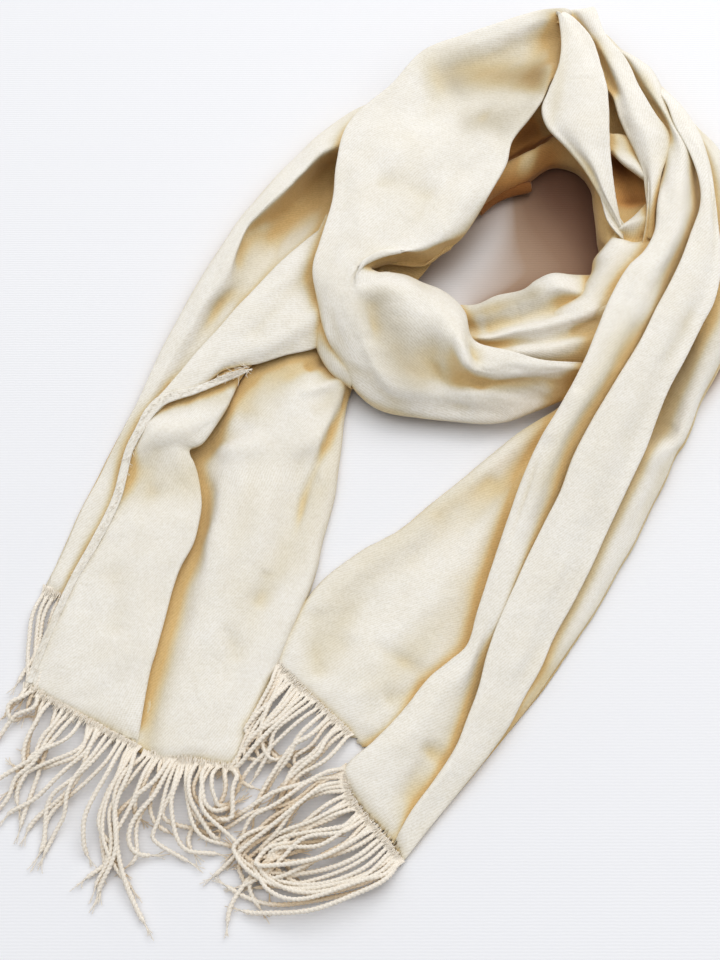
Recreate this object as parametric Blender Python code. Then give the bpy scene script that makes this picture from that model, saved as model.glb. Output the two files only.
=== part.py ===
# A pashmina shawl laid down in a loose neck loop. It is one length of twill, folded
# lengthwise into a soft band: the left tail runs up under the loop, round the neck hole,
# across the front as a wide drape, over the top and down again as the right tail.
# Metres, +Z up, X across the shawl, Y from the fringes to the top of the loop.
# The shawl lies on z = 0 with the middle of its outline at the origin.
import math

import bmesh
import bpy
from mathutils import Vector

MM = 0.001

# Driving sizes
CLOTH_WALL = 2.4 * MM         # one loose layer, nap to nap
SEAM = 0.3 * MM               # between two stretches of the same cloth
BESIDE = 0.5 * MM             # half the gap between pleats that lie side by side
LAYER_GROOVE = 1.2 * MM       # depth of the groove between two layers at a folded edge
FOOT_INSET = 2.0 * MM         # how far a folded edge rolls in where it meets the surface
STATIONS = 13                 # sections along one stretch
ACROSS = 9                    # points over the top of one section
SHORT_STATIONS = 7
FINE = 12                     # curve steps between two points of a line
NARROW_SHARE = 0.08           # most of a section's width that a groove may take
EDGE_CURL = 5 * MM            # how far the drape's outer edge turns down
TWIST_CURL = 4 * MM           # and both edges of the turn across the top
SHARP_DEGREES = 40
MIDDLE = Vector((9 * MM, -3 * MM, 0.0))   # middle of the outline, in the rows below

# One row for each fold or edge of a stretch, from its outer side to its inner side.
# Each row holds the places that the fold passes through: x, y, height, in millimetres.
LEFT_TAIL_BACK = {
    "outer edge": [(-14, 277, 12), (-40, 250, 12), (-71, 216, 12), (-105, 171, 10),
                   (-146, 91, 8), (-180, 4, 6), (-214, -80, 3), (-236, -144, 2.5)],
    "crest": [(-20, 240, 28), (-45, 210, 30), (-70, 182, 29), (-103, 148, 25),
              (-136, 81, 17), (-172, 2, 8.5), (-201, -81, 6), (-230, -146, 4)],
    "trough": [(-24, 190, 12), (-42, 152, 11), (-64, 122, 10), (-92, 90, 9),
               (-124, 38, 7), (-160, -26, 5), (-188, -96, 4), (-222, -152, 3)],
    "under the front": [(-28, 60, 8), (-60, 48, 8), (-96, 28, 7), (-120, 2, 7),
                        (-138, -28, 6), (-150, -62, 5), (-152, -120, 4), (-172, -170, 3)],
}
LEFT_TAIL_SHOULDER = {
    "upper edge": [(-26, 156, 25), (-46, 144, 25), (-68, 124, 24), (-90, 98, 23),
                   (-120, 54, 21), (-152, 17, 19), (-171, -4, 18.5)],
    "crown": [(-28, 104, 28), (-60, 92, 28), (-86, 68, 26), (-112, 40, 24),
              (-142, 12, 22), (-168, -10, 20)],
    "selvage": [(-30, 44, 21), (-49, 41, 20), (-77, 31, 20), (-98, 26, 20),
                (-118, 16, 19.5), (-146, 0, 19.5), (-164, -17, 19)],
}
LEFT_TAIL_FRONT = {
    "left edge": [(-150, 8, 12), (-171, -10, 12), (-178, -33, 12), (-186, -66, 10),
                  (-200, -111, 8), (-215, -141, 7), (-228, -178, 5), (-240, -215, 4)],
    "left crown": [(-134, 14, 12), (-150, -12, 13), (-160, -38, 17), (-170, -70, 11),
                   (-182, -118, 10), (-196, -152, 8), (-207, -190, 6), (-216, -224, 4.5)],
    "right crown": [(-116, 20, 13), (-130, -12, 14), (-146, -40, 18), (-150, -74, 12),
                    (-156, -122, 11), (-168, -154, 9), (-180, -204, 7), (-188, -240, 4.5)],
    "wavy edge": [(-96, 27, 12), (-106, 12, 13), (-114, -10, 14), (-124, -32, 14),
                  (-139, -43, 12), (-131, -81, 9), (-137, -124, 7), (-146, -147, 7),
                  (-159, -210, 5), (-166, -257, 4)],
}
LEFT_TAIL_SIDE = {
    "valley": [(-94, 25, 4), (-103, 12, 4), (-111, -9, 4), (-121, -30, 4), (-136, -44, 3),
               (-129, -81, 3), (-135, -124, 3), (-144, -147, 3), (-157, -210, 3),
               (-163, -257, 3)],
    "ridge": [(-80, 28, 11), (-104, -22, 12), (-112, -80, 10), (-119, -126, 9),
              (-127, -163, 8), (-137, -221, 7), (-144, -262, 5)],
    "crown": [(-60, 38, 13), (-75, -20, 13), (-85, -90, 10), (-100, -160, 8),
              (-124, -267, 5)],
    "soft trough": [(-38, 44, 11), (-52, -40, 8), (-75, -125, 6), (-113, -270, 4.5)],
    "right edge": [(-14, 50, 8), (-29, 16, 8), (-39, -14, 8), (-42, -54, 7),
                   (-47, -101, 6), (-65, -173, 5), (-89, -242, 4), (-101, -272, 4)],
}
LOOP_UNDER = {
    "outer edge": [(-14, 70, 18), (-16, 130, 22), (-16, 200, 24), (6, 258, 24),
                   (45, 296, 26), (95, 322, 28), (136, 332, 30)],
    "crest": [(2, 92, 24), (14, 150, 30), (35, 210, 33), (70, 262, 34), (110, 288, 34),
              (138, 290, 34)],
    "hole edge": [(24, 114, 12), (39, 133, 14), (60, 155, 14), (82, 182, 16),
                  (108, 202, 18), (132, 228, 20)],
}
LOOP_INNER = {
    "outer edge": [(137, 332, 30), (168, 322, 30), (187, 296, 30), (200, 258, 30),
                   (209, 224, 30), (211, 190, 30), (203, 155, 31), (194, 123, 32),
                   (182, 99, 32)],
    "crest": [(139, 290, 34), (166, 285, 32), (182, 250, 32), (188, 215, 32),
              (187, 180, 32), (183, 150, 32), (177, 125, 33), (170, 103, 34)],
    "hole edge": [(133, 228, 20), (158, 221, 20), (165, 207, 18), (168, 180, 17),
                  (168, 153, 17), (171, 142, 18), (164, 122, 24), (161, 106, 28)],
}
LOOP_BOTTOM = {
    "hole edge": [(62, 77, 16), (84, 84, 18), (102, 89, 18), (116, 97, 20),
                  (138, 104, 22), (159, 103, 25)],
    "first roll": [(63, 67, 24), (100, 76, 26), (130, 88, 28), (168, 92, 30)],
    "first crease": [(66, 58, 18), (100, 66, 18), (142, 80, 20), (167, 84, 24)],
    "second roll": [(68, 51, 24), (106, 57, 26), (136, 66, 28), (163, 72, 31)],
    "second crease": [(70, 45, 18), (100, 48, 18), (139, 57, 20), (159, 60, 24)],
    "third roll": [(72, 41, 23), (105, 38, 26), (134, 42, 29), (152, 44, 31)],
    "front edge": [(70, 35, 14), (84, 33, 14), (128, 15, 16), (145, 26, 18)],
}
LOWER_ROLL = {
    "front edge": [(6, -12, 15), (43, -16, 15), (79, -20, 15), (110, -13, 16),
                   (136, 2, 18)],
    "front crown": [(6, 25, 44), (36, 10, 46), (62, -3, 40), (95, -4, 34), (136, 5, 33)],
    "back crown": [(6, 62, 46), (30, 46, 48), (50, 26, 44), (84, 10, 38), (136, 8, 36)],
    "hole edge": [(6, 91, 36), (34, 73, 38), (57, 53, 38), (66, 33, 36), (83, 30, 36),
                  (127, 12, 38), (136, 13, 36)],
}
# the four rows of the drape have a place each for the same thirteen sections
FRONT_DRAPE = {
    "outer edge": [(131, 348, 44), (95, 340, 38), (38, 316, 36), (4, 281, 36),
                   (-28, 236, 36), (-36, 190, 36), (-41, 150, 35), (-50, 116, 34),
                   (-51, 81, 33), (-46, 46, 29), (-34, 16, 24), (-16, -4, 19),
                   (3, -12, 18)],
    "outer crown": [(134, 322, 53), (96, 300, 51), (58, 262, 50), (24, 232, 50),
                    (2, 195, 50), (-6, 162, 49), (-16, 133, 47), (-31, 112, 44),
                    (-37, 87, 42), (-32, 60, 41), (-20, 36, 40), (-8, 18, 38),
                    (3, 10, 37)],
    "inner crown": [(135, 297, 56), (108, 268, 54), (80, 231, 52), (56, 202, 52),
                    (38, 170, 52), (26, 146, 51), (8, 124, 48), (-12, 110, 44),
                    (-25, 95, 42), (-22, 76, 42), (-13, 62, 43), (-4, 52, 44),
                    (3, 44, 45)],
    "hole edge": [(135, 271, 54), (120, 245, 50), (101, 214, 46), (88, 181, 44),
                  (75, 155, 42), (57, 124, 40), (37, 108, 38), (8, 107, 38),
                  (-12, 101, 38), (-11, 95, 38), (-7, 92, 38), (-2, 91, 38),
                  (3, 91, 39)],
}
TOP_TWIST = {
    "hole edge": [(140, 333, 53), (139, 296, 54), (136, 262, 50), (130, 246, 46),
                  (130, 231, 44), (138, 211, 44), (150, 188, 43), (157, 172, 42),
                  (159, 148, 38), (162, 127, 36)],
    "crown": [(145, 336, 56), (151, 300, 58), (154, 262, 56), (151, 238, 54),
              (154, 215, 53), (162, 190, 50), (166, 168, 46), (169, 144, 41),
              (169, 129, 38)],
    "outer edge": [(149, 334, 53), (163, 303, 53), (171, 275, 53), (173, 252, 53),
                   (173, 224, 51), (172, 198, 48), (174, 167, 43), (176, 134, 38)],
}
INNER_TURN = {
    "under the twist": [(155, 331, 38), (170, 296, 38), (178, 256, 37), (182, 236, 37),
                        (186, 219, 37), (186, 200, 37)],
    "crown": [(164, 336, 46), (181, 300, 48), (191, 258, 50), (198, 228, 50),
              (201, 204, 49), (198, 180, 46)],
    "outer edge": [(170, 340, 46), (190, 301, 50), (200, 260, 53), (209, 227, 54),
                   (213, 206, 54), (209, 182, 51)],
}
RIGHT_FOLD_INNER = {
    "left edge": [(174, 343, 40), (194, 302, 44), (205, 260, 46), (213, 226, 47),
                  (217, 206, 47), (213, 181, 46), (206, 152, 44), (198, 122, 42),
                  (184, 96, 42), (166, 68, 42), (152, 36, 40), (139, 6, 38)],
    "crest": [(177, 340, 42), (199, 299, 50), (211, 252, 56), (221, 226, 58),
              (226, 191, 60), (220, 144, 60), (204, 104, 59), (184, 62, 57), (155, 8, 51)],
    "trough": [(180, 338, 38), (197, 312, 38), (209, 288, 42), (222, 259, 44),
               (230, 224, 45), (238, 199, 45), (239, 170, 45), (228, 122, 44),
               (218, 103, 44), (200, 66, 42), (183, 33, 40), (168, 8, 38)],
}
RIGHT_FOLD_MIDDLE = {
    "trough": RIGHT_FOLD_INNER["trough"],
    "crest": [(181, 342, 40), (200, 315, 42), (213, 288, 48), (231, 243, 52),
              (242, 190, 55), (242, 129, 56), (228, 78, 52), (206, 29, 48), (194, 12, 46)],
    "right edge": [(183, 346, 34), (203, 320, 36), (216, 292, 38), (232, 262, 40),
                   (244, 222, 42), (250, 180, 43), (252, 148, 43), (252, 119, 42),
                   (245, 85, 40), (230, 51, 36), (214, 18, 33)],
}
RIGHT_FOLD_OUTER = {
    "inner edge": RIGHT_FOLD_MIDDLE["right edge"],
    "crest": [(186, 352, 26), (203, 331, 31), (220, 302, 33), (237, 268, 33),
              (250, 230, 32), (260, 182, 30), (262, 130, 28), (253, 74, 24),
              (236, 32, 19), (226, 14, 17)],
    "outer edge": [(190, 357, 14), (199, 342, 16), (218, 318, 18), (234, 290, 18),
                   (248, 262, 18), (262, 232, 16), (272, 187, 15), (274, 132, 13),
                   (265, 79, 11), (248, 37, 9), (234, 10, 8)],
}
RIGHT_TAIL_FRONT = {
    "left edge": [(139, 6, 37), (121, -22, 33), (108, -44, 29), (95, -72, 24),
                  (79, -115, 18), (63, -165, 13), (54, -190, 10), (29, -211, 8),
                  (11, -235, 7), (-11, -258, 6), (-29, -272, 5)],
    "crest": [(155, 8, 51), (134, -27, 46), (113, -71, 39), (95, -107, 33),
              (80, -138, 27), (68, -168, 21), (56, -199, 15), (34, -236, 11),
              (8, -269, 9), (-16, -296, 5)],
    "trough": [(168, 8, 38), (140, -37, 32), (122, -79, 26), (107, -108, 22),
               (90, -142, 18), (74, -178, 15), (61, -216, 12), (47, -256, 9),
               (21, -295, 6), (-4, -319, 4)],
}
RIGHT_TAIL_MIDDLE = {
    "trough": RIGHT_TAIL_FRONT["trough"],
    "crest": [(194, 12, 46), (174, -32, 40), (140, -91, 32), (114, -141, 26),
              (92, -176, 21), (71, -217, 17), (54, -257, 12), (27, -296, 8), (1, -327, 5)],
    "right edge": [(214, 18, 33), (190, -29, 28), (174, -63, 23), (159, -95, 20),
                   (134, -146, 16), (109, -190, 13), (90, -227, 11), (74, -256, 9),
                   (40, -295, 6), (7, -334, 4)],
}
RIGHT_TAIL_OUTER = {
    "inner edge": [(214, 13, 18), (192, -29, 16), (176, -63, 14), (161, -95, 12),
                   (136, -146, 9), (111, -190, 7), (92, -228, 6), (76, -257, 5)],
    "crest": [(225, 9, 17), (200, -33, 14), (182, -66, 12), (166, -98, 10),
              (142, -147, 8), (119, -184, 7), (97, -223, 5), (79, -256, 4)],
    "outer edge": [(232, 5, 8), (209, -39, 6), (190, -76, 5), (176, -104, 5),
                   (150, -148, 4), (126, -186, 4), (101, -222, 3), (82, -253, 3)],
}
RIGHT_TAIL_LOWER = {
    "left edge": [(116, -16, 12), (82, -39, 7), (53, -61, 5), (10, -98, 4),
                  (-18, -116, 4), (-43, -142, 3.5), (-60, -170, 3), (-70, -197, 3)],
    "crown": [(114, -22, 20), (73, -66, 15), (32, -115, 12), (-13, -157, 11),
              (-54, -219, 4.5)],
    "back": [(112, -28, 25), (80, -81, 18), (48, -136, 14), (9, -183, 12),
             (-38, -240, 4.5)],
    "under the front": [(110, -34, 24), (94, -68, 19), (77, -114, 14), (61, -165, 10),
                        (51, -189, 8), (27, -208, 6), (8, -232, 5), (-12, -254, 4),
                        (-22, -262, 4)],
}

# Fringe: twisted strands lie loose, so each bunch has a plain pad of its reach.
LEFT_FRINGE_BACK = {
    "outer side": [(-238, -148, 2.5), (-246, -174, 2.5), (-252, -206, 2.5)],
    "inner side": [(-229, -152, 2.5), (-234, -176, 2.5), (-244, -206, 2.5)],
}
LEFT_FRINGE_FRONT = {
    "hem": [(-241, -218, 4), (-217, -227, 5), (-189, -243, 5), (-167, -260, 4)],
    "middle": [(-248, -258, 6), (-226, -274, 8), (-193, -292, 9), (-161, -306, 8)],
    "tips": [(-256, -296, 3), (-236, -322, 3), (-200, -346, 3), (-154, -356, 3)],
}
LEFT_FRINGE_SIDE = {
    "hem": [(-161, -261, 4), (-144, -265, 5), (-124, -270, 5), (-102, -274, 4)],
    "middle": [(-156, -288, 7), (-142, -294, 8), (-122, -298, 8), (-104, -300, 6)],
    "tips": [(-152, -322, 3), (-138, -334, 3), (-122, -330, 3), (-106, -324, 3)],
}
RIGHT_FRINGE_LOWER = {
    "hem": [(-68, -201, 3), (-58, -221, 4), (-41, -240, 4), (-23, -265, 4)],
    "middle": [(-74, -217, 6), (-67, -238, 8), (-54, -256, 8), (-32, -270, 6)],
    "tips": [(-80, -233, 3), (-84, -252, 3), (-72, -270, 3), (-44, -274, 3)],
}
RIGHT_FRINGE_FRONT = {
    "hem": [(-31, -275, 4), (-19, -299, 5), (-7, -322, 5), (6, -337, 4)],
    "middle": [(-58, -282, 9), (-56, -308, 11), (-50, -334, 10), (-28, -356, 6)],
    "tips": [(-98, -286, 4), (-104, -312, 4), (-92, -338, 4), (-62, -362, 3)],
}

# Colours: linear base colour, roughness
CREAM_TWILL = ("cream_twill", (0.86, 0.77, 0.60), 0.85)
IVORY_STRANDS = ("ivory_strands", (0.80, 0.72, 0.58), 0.9)


def clear_scene():
    for old in list(bpy.data.objects):
        bpy.data.objects.remove(old, do_unlink=True)


def material(name, colour, roughness):
    made = bpy.data.materials.get(name) or bpy.data.materials.new(name)
    made.use_nodes = True
    shader = made.node_tree.nodes["Principled BSDF"]
    shader.inputs["Base Color"].default_value = (*colour, 1.0)
    shader.inputs["Roughness"].default_value = roughness
    shader.inputs["Metallic"].default_value = 0.0
    return made


def spline_point(before, start, end, after, t):
    """A point of the smooth curve that passes through start and end."""
    return 0.5 * ((2 * start) + (end - before) * t
                  + (2 * before - 5 * start + 4 * end - after) * t * t
                  + (3 * start - before - 3 * end + after) * t * t * t)


def smooth_line(points, count, by_section=False):
    """count points on a smooth curve through the given points.

    They are evenly spaced along it, or by_section evenly between the given points.
    """
    knots = [points[0] * 2 - points[1]] + list(points) + [points[-1] * 2 - points[-2]]
    fine = []
    for i in range(1, len(knots) - 2):
        for step in range(FINE):
            fine.append(spline_point(*knots[i - 1:i + 3], step / FINE))
    fine.append(points[-1])
    lengths = [0.0]
    for a, b in zip(fine, fine[1:]):
        lengths.append(lengths[-1] + (1.0 if by_section else (b - a).length))
    even, k = [], 0
    for i in range(count):
        want = lengths[-1] * i / (count - 1)
        while k < len(fine) - 2 and lengths[k + 1] < want:
            k += 1
        part = (want - lengths[k]) / max(lengths[k + 1] - lengths[k], 1e-9)
        even.append(fine[k].lerp(fine[k + 1], min(part, 1.0)))
    return even


def in_metres(row):
    return [Vector(place) * MM - MIDDLE for place in row]


def sections(folds, stations, across, by_section=False):
    """Sections of a stretch, each a smooth line over all of its folds."""
    lines = [smooth_line(in_metres(row), stations, by_section) for row in folds.values()]
    return [smooth_line([line[i] for line in lines], across) for i in range(stations)]


def level_way(start, end):
    """The level direction from one point to another."""
    way = Vector((end.x - start.x, end.y - start.y, 0.0))
    return way.normalized()


def folded_side(edge, inward, depth):
    """Points up one side of a pile, from the surface it lies on to just below its edge."""
    if not depth:
        return [Vector((edge.x, edge.y, 0.0))]
    # a thin edge has a shallower groove and a smaller foot
    groove = min(LAYER_GROOVE, edge.z * 0.2, depth)
    foot = min(FOOT_INSET, edge.z * 0.5, depth)
    # columns: share of the edge's height, distance in from the edge
    outline = [(0.0, foot), (0.2, 0.0), (0.44, 0.0), (0.5, groove), (0.56, 0.0)]
    side = []
    for share, inset in outline:
        place = edge + inward * inset
        side.append(Vector((place.x, place.y, edge.z * share)))
    return side


def finish(name, mesh_data, look):
    """Turns finished mesh data into a smooth-shaded object of its own."""
    mesh = bpy.data.meshes.new(name)
    mesh_data.to_mesh(mesh)
    mesh_data.free()
    piece = bpy.data.objects.new(name, mesh)
    bpy.context.collection.objects.link(piece)
    mesh.materials.append(material(*look))
    mesh.shade_smooth()
    mesh.set_sharp_from_angle(angle=math.radians(SHARP_DEGREES))
    return piece


def pile(name, folds, look=CREAM_TWILL, layered=("first", "last"), inset=(0.0, 0.0),
         stations=STATIONS, across=ACROSS, seam_at_start=False):
    """Folded layers as one rounded body with a flat underside.

    layered says which long sides show their layers, and inset moves the first and the
    last side in from their lines.
    """
    made = bmesh.new()
    tops = sections(folds, stations, across)
    if seam_at_start:
        way = level_way(tops[0][across // 2], tops[1][across // 2])
        tops[0] = [place + way * SEAM for place in tops[0]]
    rings = []
    for top in tops:
        inward = level_way(top[0], top[-1])
        top[0] = top[0] + inward * inset[0]
        top[-1] = top[-1] - inward * inset[1]
        depth = NARROW_SHARE * (top[-1] - top[0]).length
        left = folded_side(top[0], inward, depth if "first" in layered else 0.0)
        right = folded_side(top[-1], -inward, depth if "last" in layered else 0.0)
        under = [Vector((place.x, place.y, 0.0)) for place in top[2:-2:2]]
        rings.append({part: [made.verts.new(place) for place in row] for part, row in
                      (("left", left), ("top", top), ("right", right), ("under", under))})
    loops = [ring["left"] + ring["top"] + ring["right"][::-1] + ring["under"][::-1]
             for ring in rings]
    for a, b in zip(loops, loops[1:]):
        for i in range(len(a)):
            j = (i + 1) % len(a)
            made.faces.new((a[i], a[j], b[j], b[i]))
    for ring in (rings[0], rings[-1]):
        close_end(made, ring)
    bmesh.ops.triangulate(made, faces=made.faces, ngon_method="EAR_CLIP")
    bmesh.ops.recalc_face_normals(made, faces=made.faces)
    return finish(name, made, look)


def close_end(made, ring):
    """The end of a pile, as upright faces between its top and its underside."""
    top, under = ring["top"], ring["under"]
    for k in range(len(under) - 1):
        made.faces.new([under[k]] + top[2 * k + 2:2 * k + 5] + [under[k + 1]])
    close_side(made, ring["left"] + top[:3] + under[:1], top[0], top[1])
    close_side(made, [under[-1]] + top[-3:] + ring["right"][::-1], top[-1], top[-2])


def close_side(made, outline, edge, inside):
    """Fills the end next to a long side, round a point level with the side's groove."""
    middle = made.verts.new((inside.co.x, inside.co.y, edge.co.z * 0.5))
    for i, vert in enumerate(outline):
        made.faces.new((vert, outline[(i + 1) % len(outline)], middle))


def wall(name, folds, look=CREAM_TWILL, turned=(0.0, 0.0), stations=STATIONS,
         across=ACROSS, by_section=False):
    """One laid layer. turned is how far its first and last edges curl down."""
    made = bmesh.new()
    rows = []
    for top in sections(folds, stations, across, by_section):
        inward = level_way(top[0], top[-1])
        row = list(top)
        if turned[0]:
            row.insert(0, top[0] + inward * CLOTH_WALL * 0.5 - Vector((0, 0, turned[0])))
        if turned[1]:
            row.append(top[-1] - inward * CLOTH_WALL * 0.5 - Vector((0, 0, turned[1])))
        rows.append([made.verts.new(place) for place in row])
    for a, b in zip(rows, rows[1:]):
        for i in range(len(a) - 1):
            made.faces.new((a[i], a[i + 1], b[i + 1], b[i]))
    bmesh.ops.recalc_face_normals(made, faces=made.faces)
    made.normal_update()
    if sum(face.normal.z for face in made.faces) < 0:
        bmesh.ops.reverse_faces(made, faces=made.faces)
    piece = finish(name, made, look)
    thick = piece.modifiers.new("cloth thickness", "SOLIDIFY")
    thick.thickness = CLOTH_WALL
    thick.offset = -1.0
    return piece


def left_tail():
    pile("left_tail_back", LEFT_TAIL_BACK, layered=("first",))
    wall("left_tail_shoulder", LEFT_TAIL_SHOULDER, across=7, stations=10)
    wall("left_tail_front", LEFT_TAIL_FRONT)
    pile("left_tail_side", LEFT_TAIL_SIDE, layered=("last",), across=11)


def loop():
    pile("loop_under", LOOP_UNDER, across=7)
    pile("loop_inner", LOOP_INNER, across=7)
    pile("loop_bottom", LOOP_BOTTOM, across=17, stations=9)
    pile("lower_roll", LOWER_ROLL, across=11)
    wall("front_drape", FRONT_DRAPE, stations=19, turned=(EDGE_CURL, 0.0), by_section=True)
    wall("top_twist", TOP_TWIST, across=7, turned=(TWIST_CURL, TWIST_CURL))
    wall("inner_turn", INNER_TURN, across=7, stations=10)


def right_side():
    beside_both = (BESIDE, BESIDE)
    pile("right_fold_inner", RIGHT_FOLD_INNER, layered=(), inset=(0.0, BESIDE))
    pile("right_fold_middle", RIGHT_FOLD_MIDDLE, layered=(), inset=beside_both)
    pile("right_fold_outer", RIGHT_FOLD_OUTER, layered=("last",), inset=(BESIDE, 0.0))


def right_tail():
    beside_both = (BESIDE, BESIDE)
    pile("right_tail_front", RIGHT_TAIL_FRONT, layered=(), inset=beside_both,
         seam_at_start=True)
    pile("right_tail_middle", RIGHT_TAIL_MIDDLE, layered=(), inset=beside_both,
         seam_at_start=True)
    pile("right_tail_outer", RIGHT_TAIL_OUTER, layered=("last",), inset=(BESIDE, 0.0),
         across=7, seam_at_start=True)
    pile("right_tail_lower", RIGHT_TAIL_LOWER, layered=("first",))


def fringes():
    pads = {
        "left_fringe_back": LEFT_FRINGE_BACK,
        "left_fringe_front": LEFT_FRINGE_FRONT,
        "left_fringe_side": LEFT_FRINGE_SIDE,
        "right_fringe_lower": RIGHT_FRINGE_LOWER,
        "right_fringe_front": RIGHT_FRINGE_FRONT,
    }
    for name, folds in pads.items():
        pile(name, folds, look=IVORY_STRANDS, layered=(), stations=SHORT_STATIONS,
             across=5)


clear_scene()
left_tail()
loop()
right_side()
right_tail()
fringes()
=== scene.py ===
import math

import bpy
import numpy as np
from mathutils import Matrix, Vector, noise


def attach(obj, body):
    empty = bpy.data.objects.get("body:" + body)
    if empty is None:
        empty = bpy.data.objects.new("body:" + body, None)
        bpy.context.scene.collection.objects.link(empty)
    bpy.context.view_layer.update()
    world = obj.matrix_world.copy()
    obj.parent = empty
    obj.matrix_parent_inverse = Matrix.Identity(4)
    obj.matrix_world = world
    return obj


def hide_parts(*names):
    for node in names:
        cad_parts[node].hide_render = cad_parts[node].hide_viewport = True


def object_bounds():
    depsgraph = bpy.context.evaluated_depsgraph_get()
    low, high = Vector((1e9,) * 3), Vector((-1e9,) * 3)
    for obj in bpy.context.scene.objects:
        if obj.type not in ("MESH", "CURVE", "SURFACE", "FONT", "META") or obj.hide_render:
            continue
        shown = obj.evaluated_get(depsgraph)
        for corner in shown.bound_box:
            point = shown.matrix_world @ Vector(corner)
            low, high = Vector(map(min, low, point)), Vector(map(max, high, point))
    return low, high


# A pashmina shawl laid down in a loose neck loop, built stretch by stretch.
# Each stretch of cloth is a thin shell laid over named folds. A fold is a row of places
# (x, y, height) in millimetres, and the rows of one stretch match place by place.

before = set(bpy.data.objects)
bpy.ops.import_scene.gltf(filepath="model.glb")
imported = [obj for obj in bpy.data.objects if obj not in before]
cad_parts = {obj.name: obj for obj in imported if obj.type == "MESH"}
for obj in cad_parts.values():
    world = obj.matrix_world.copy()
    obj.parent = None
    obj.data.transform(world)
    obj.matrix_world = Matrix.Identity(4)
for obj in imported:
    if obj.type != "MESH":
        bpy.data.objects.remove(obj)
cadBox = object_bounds()
mm = 0.001


def setInputs(tree, node, inputs):
    # each input takes a value, or another node's output to link from
    for name, value in inputs.items():
        if isinstance(value, bpy.types.NodeSocket):
            tree.links.new(value, node.inputs[name])
        else:
            node.inputs[name].default_value = value


def addNode(tree, kind, inputs, **switches):
    node = tree.nodes.new("ShaderNode" + kind)
    for name, value in switches.items():
        setattr(node, name, value)
    setInputs(tree, node, inputs)
    return node


def colourRamp(tree, source, stops):
    ramp = addNode(tree, "ValToRGB", {"Fac": source})
    for place, colour in stops[1:-1]:
        ramp.color_ramp.elements.new(place)
    for element, (place, colour) in zip(ramp.color_ramp.elements, stops):
        element.position = place
        element.color = (*colour, 1)
    return ramp.outputs["Color"]


def multiplied(tree, first, *others):
    for other in others:
        first = addNode(tree, "Mix", {"Factor": 1, "A": first, "B": other},
                        data_type="RGBA", blend_type="MULTIPLY").outputs["Result"]
    return first


def blended(tree, factor, first, other):
    return addNode(tree, "Mix", {"Factor": factor, "A": first, "B": other},
                   data_type="FLOAT").outputs["Result"]


def marked(tree, name):
    # a value that each vertex carries
    return addNode(tree, "Attribute", {}, attribute_name=name).outputs["Fac"]


def waveScale(period):
    # the scale at which a wave texture repeats every so many millimetres
    return math.tau / 20 / (period * mm)


def newLook(name):
    look = bpy.data.materials.new(name)
    look.use_nodes = True
    return look, look.node_tree, look.node_tree.nodes["Principled BSDF"]


table = {
    "size": 9,              # m
    "near": 1.2,            # m, the fine grid round the shawl, which carries its painted shade
    "cells": 240,
    "border": 0.1,          # m of the grid that sinks under the table at its rim
    "sink": 0.0006,         # m
    "under": 0.0002,        # m that the table lies below the shawl
    "threads": 150,
    "pale": ((0, (0.80, 0.805, 0.83)), (1, (0.83, 0.835, 0.86))),
    # painted shade: the table turns warm and dark where the cloth shuts it in
    "shade": ((0, (1, 1, 1)), (0.1, (0.90, 0.86, 0.83)), (0.28, (0.47, 0.335, 0.24)),
              (0.42, (0.38, 0.25, 0.17)), (1, (0.27, 0.155, 0.105))),
    "gather": 0.70,         # how fast the painted shade darkens towards the cloth on its upper right
    "archReach": 16,        # mm round the arch of the drape where light comes in under it, so less shade is painted
    "archLight": 0.8,       # share of the painted shade that goes there
}


def tableLook():
    look, tree, shader = newLook("pale_table_cloth")
    place = addNode(tree, "TexCoord", {}).outputs["Object"]
    threads = addNode(tree, "TexWave", {"Vector": place, "Scale": table["threads"], "Distortion": 1.5,
                                        "Detail": 2}, bands_direction="Y").outputs["Fac"]
    tone = colourRamp(tree, threads, table["pale"])
    # painted shade on the table, warm and dark where the cloth shuts it in
    shade = colourRamp(tree, marked(tree, "paintedShade"), table["shade"])
    bump = addNode(tree, "Bump", {"Strength": 0.25, "Distance": 0.0002, "Height": threads})
    setInputs(tree, shader, {"Base Color": multiplied(tree, tone, shade), "Normal": bump.outputs["Normal"],
                             "Roughness": 0.85, "Specular IOR Level": 0.2})
    return look


def layTable():
    look = tableLook()
    bpy.ops.mesh.primitive_plane_add(size=table["size"], location=(0, 0, -table["under"]))
    wide = bpy.context.object
    wide.name = "floor"
    cells = table["cells"]
    bpy.ops.mesh.primitive_grid_add(x_subdivisions=cells, y_subdivisions=cells, size=table["near"])
    near = bpy.context.object
    near.name = "floor_near"
    for vertex in near.data.vertices:
        out = max(abs(vertex.co.x), abs(vertex.co.y)) - (table["near"] / 2 - table["border"])
        vertex.co.z = -table["sink"] * min(1, max(0, out / table["border"]))
    for part in (wide, near):
        part.data.materials.append(look)


studio = {
    "target": (-0.027, -0.066, 0.020),
    "camera": (-0.0270, -0.6161, 1.0546),
    "tilt": 28,             # degrees from straight down
    "frameHeight": 24,      # mm of film
    "lens": 41.85,          # mm
    "key": (0.75, 1.05, 1.35),
    "keySize": (1.3, 0.9),
    "keyPower": 8.0,
    "keyColour": (1.0, 0.985, 0.96),
    "sky": 1.83,
    # its light from low, as from windows all round, to overhead
    "byHeight": ((0, (0.97, 0.98, 1)), (0.3, (0.194, 0.196, 0.2)), (0.55, (0.388, 0.392, 0.4)),
                 (1, (1, 1, 1))),
    "front": 0.4,           # share of it that comes from the front
}


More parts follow.
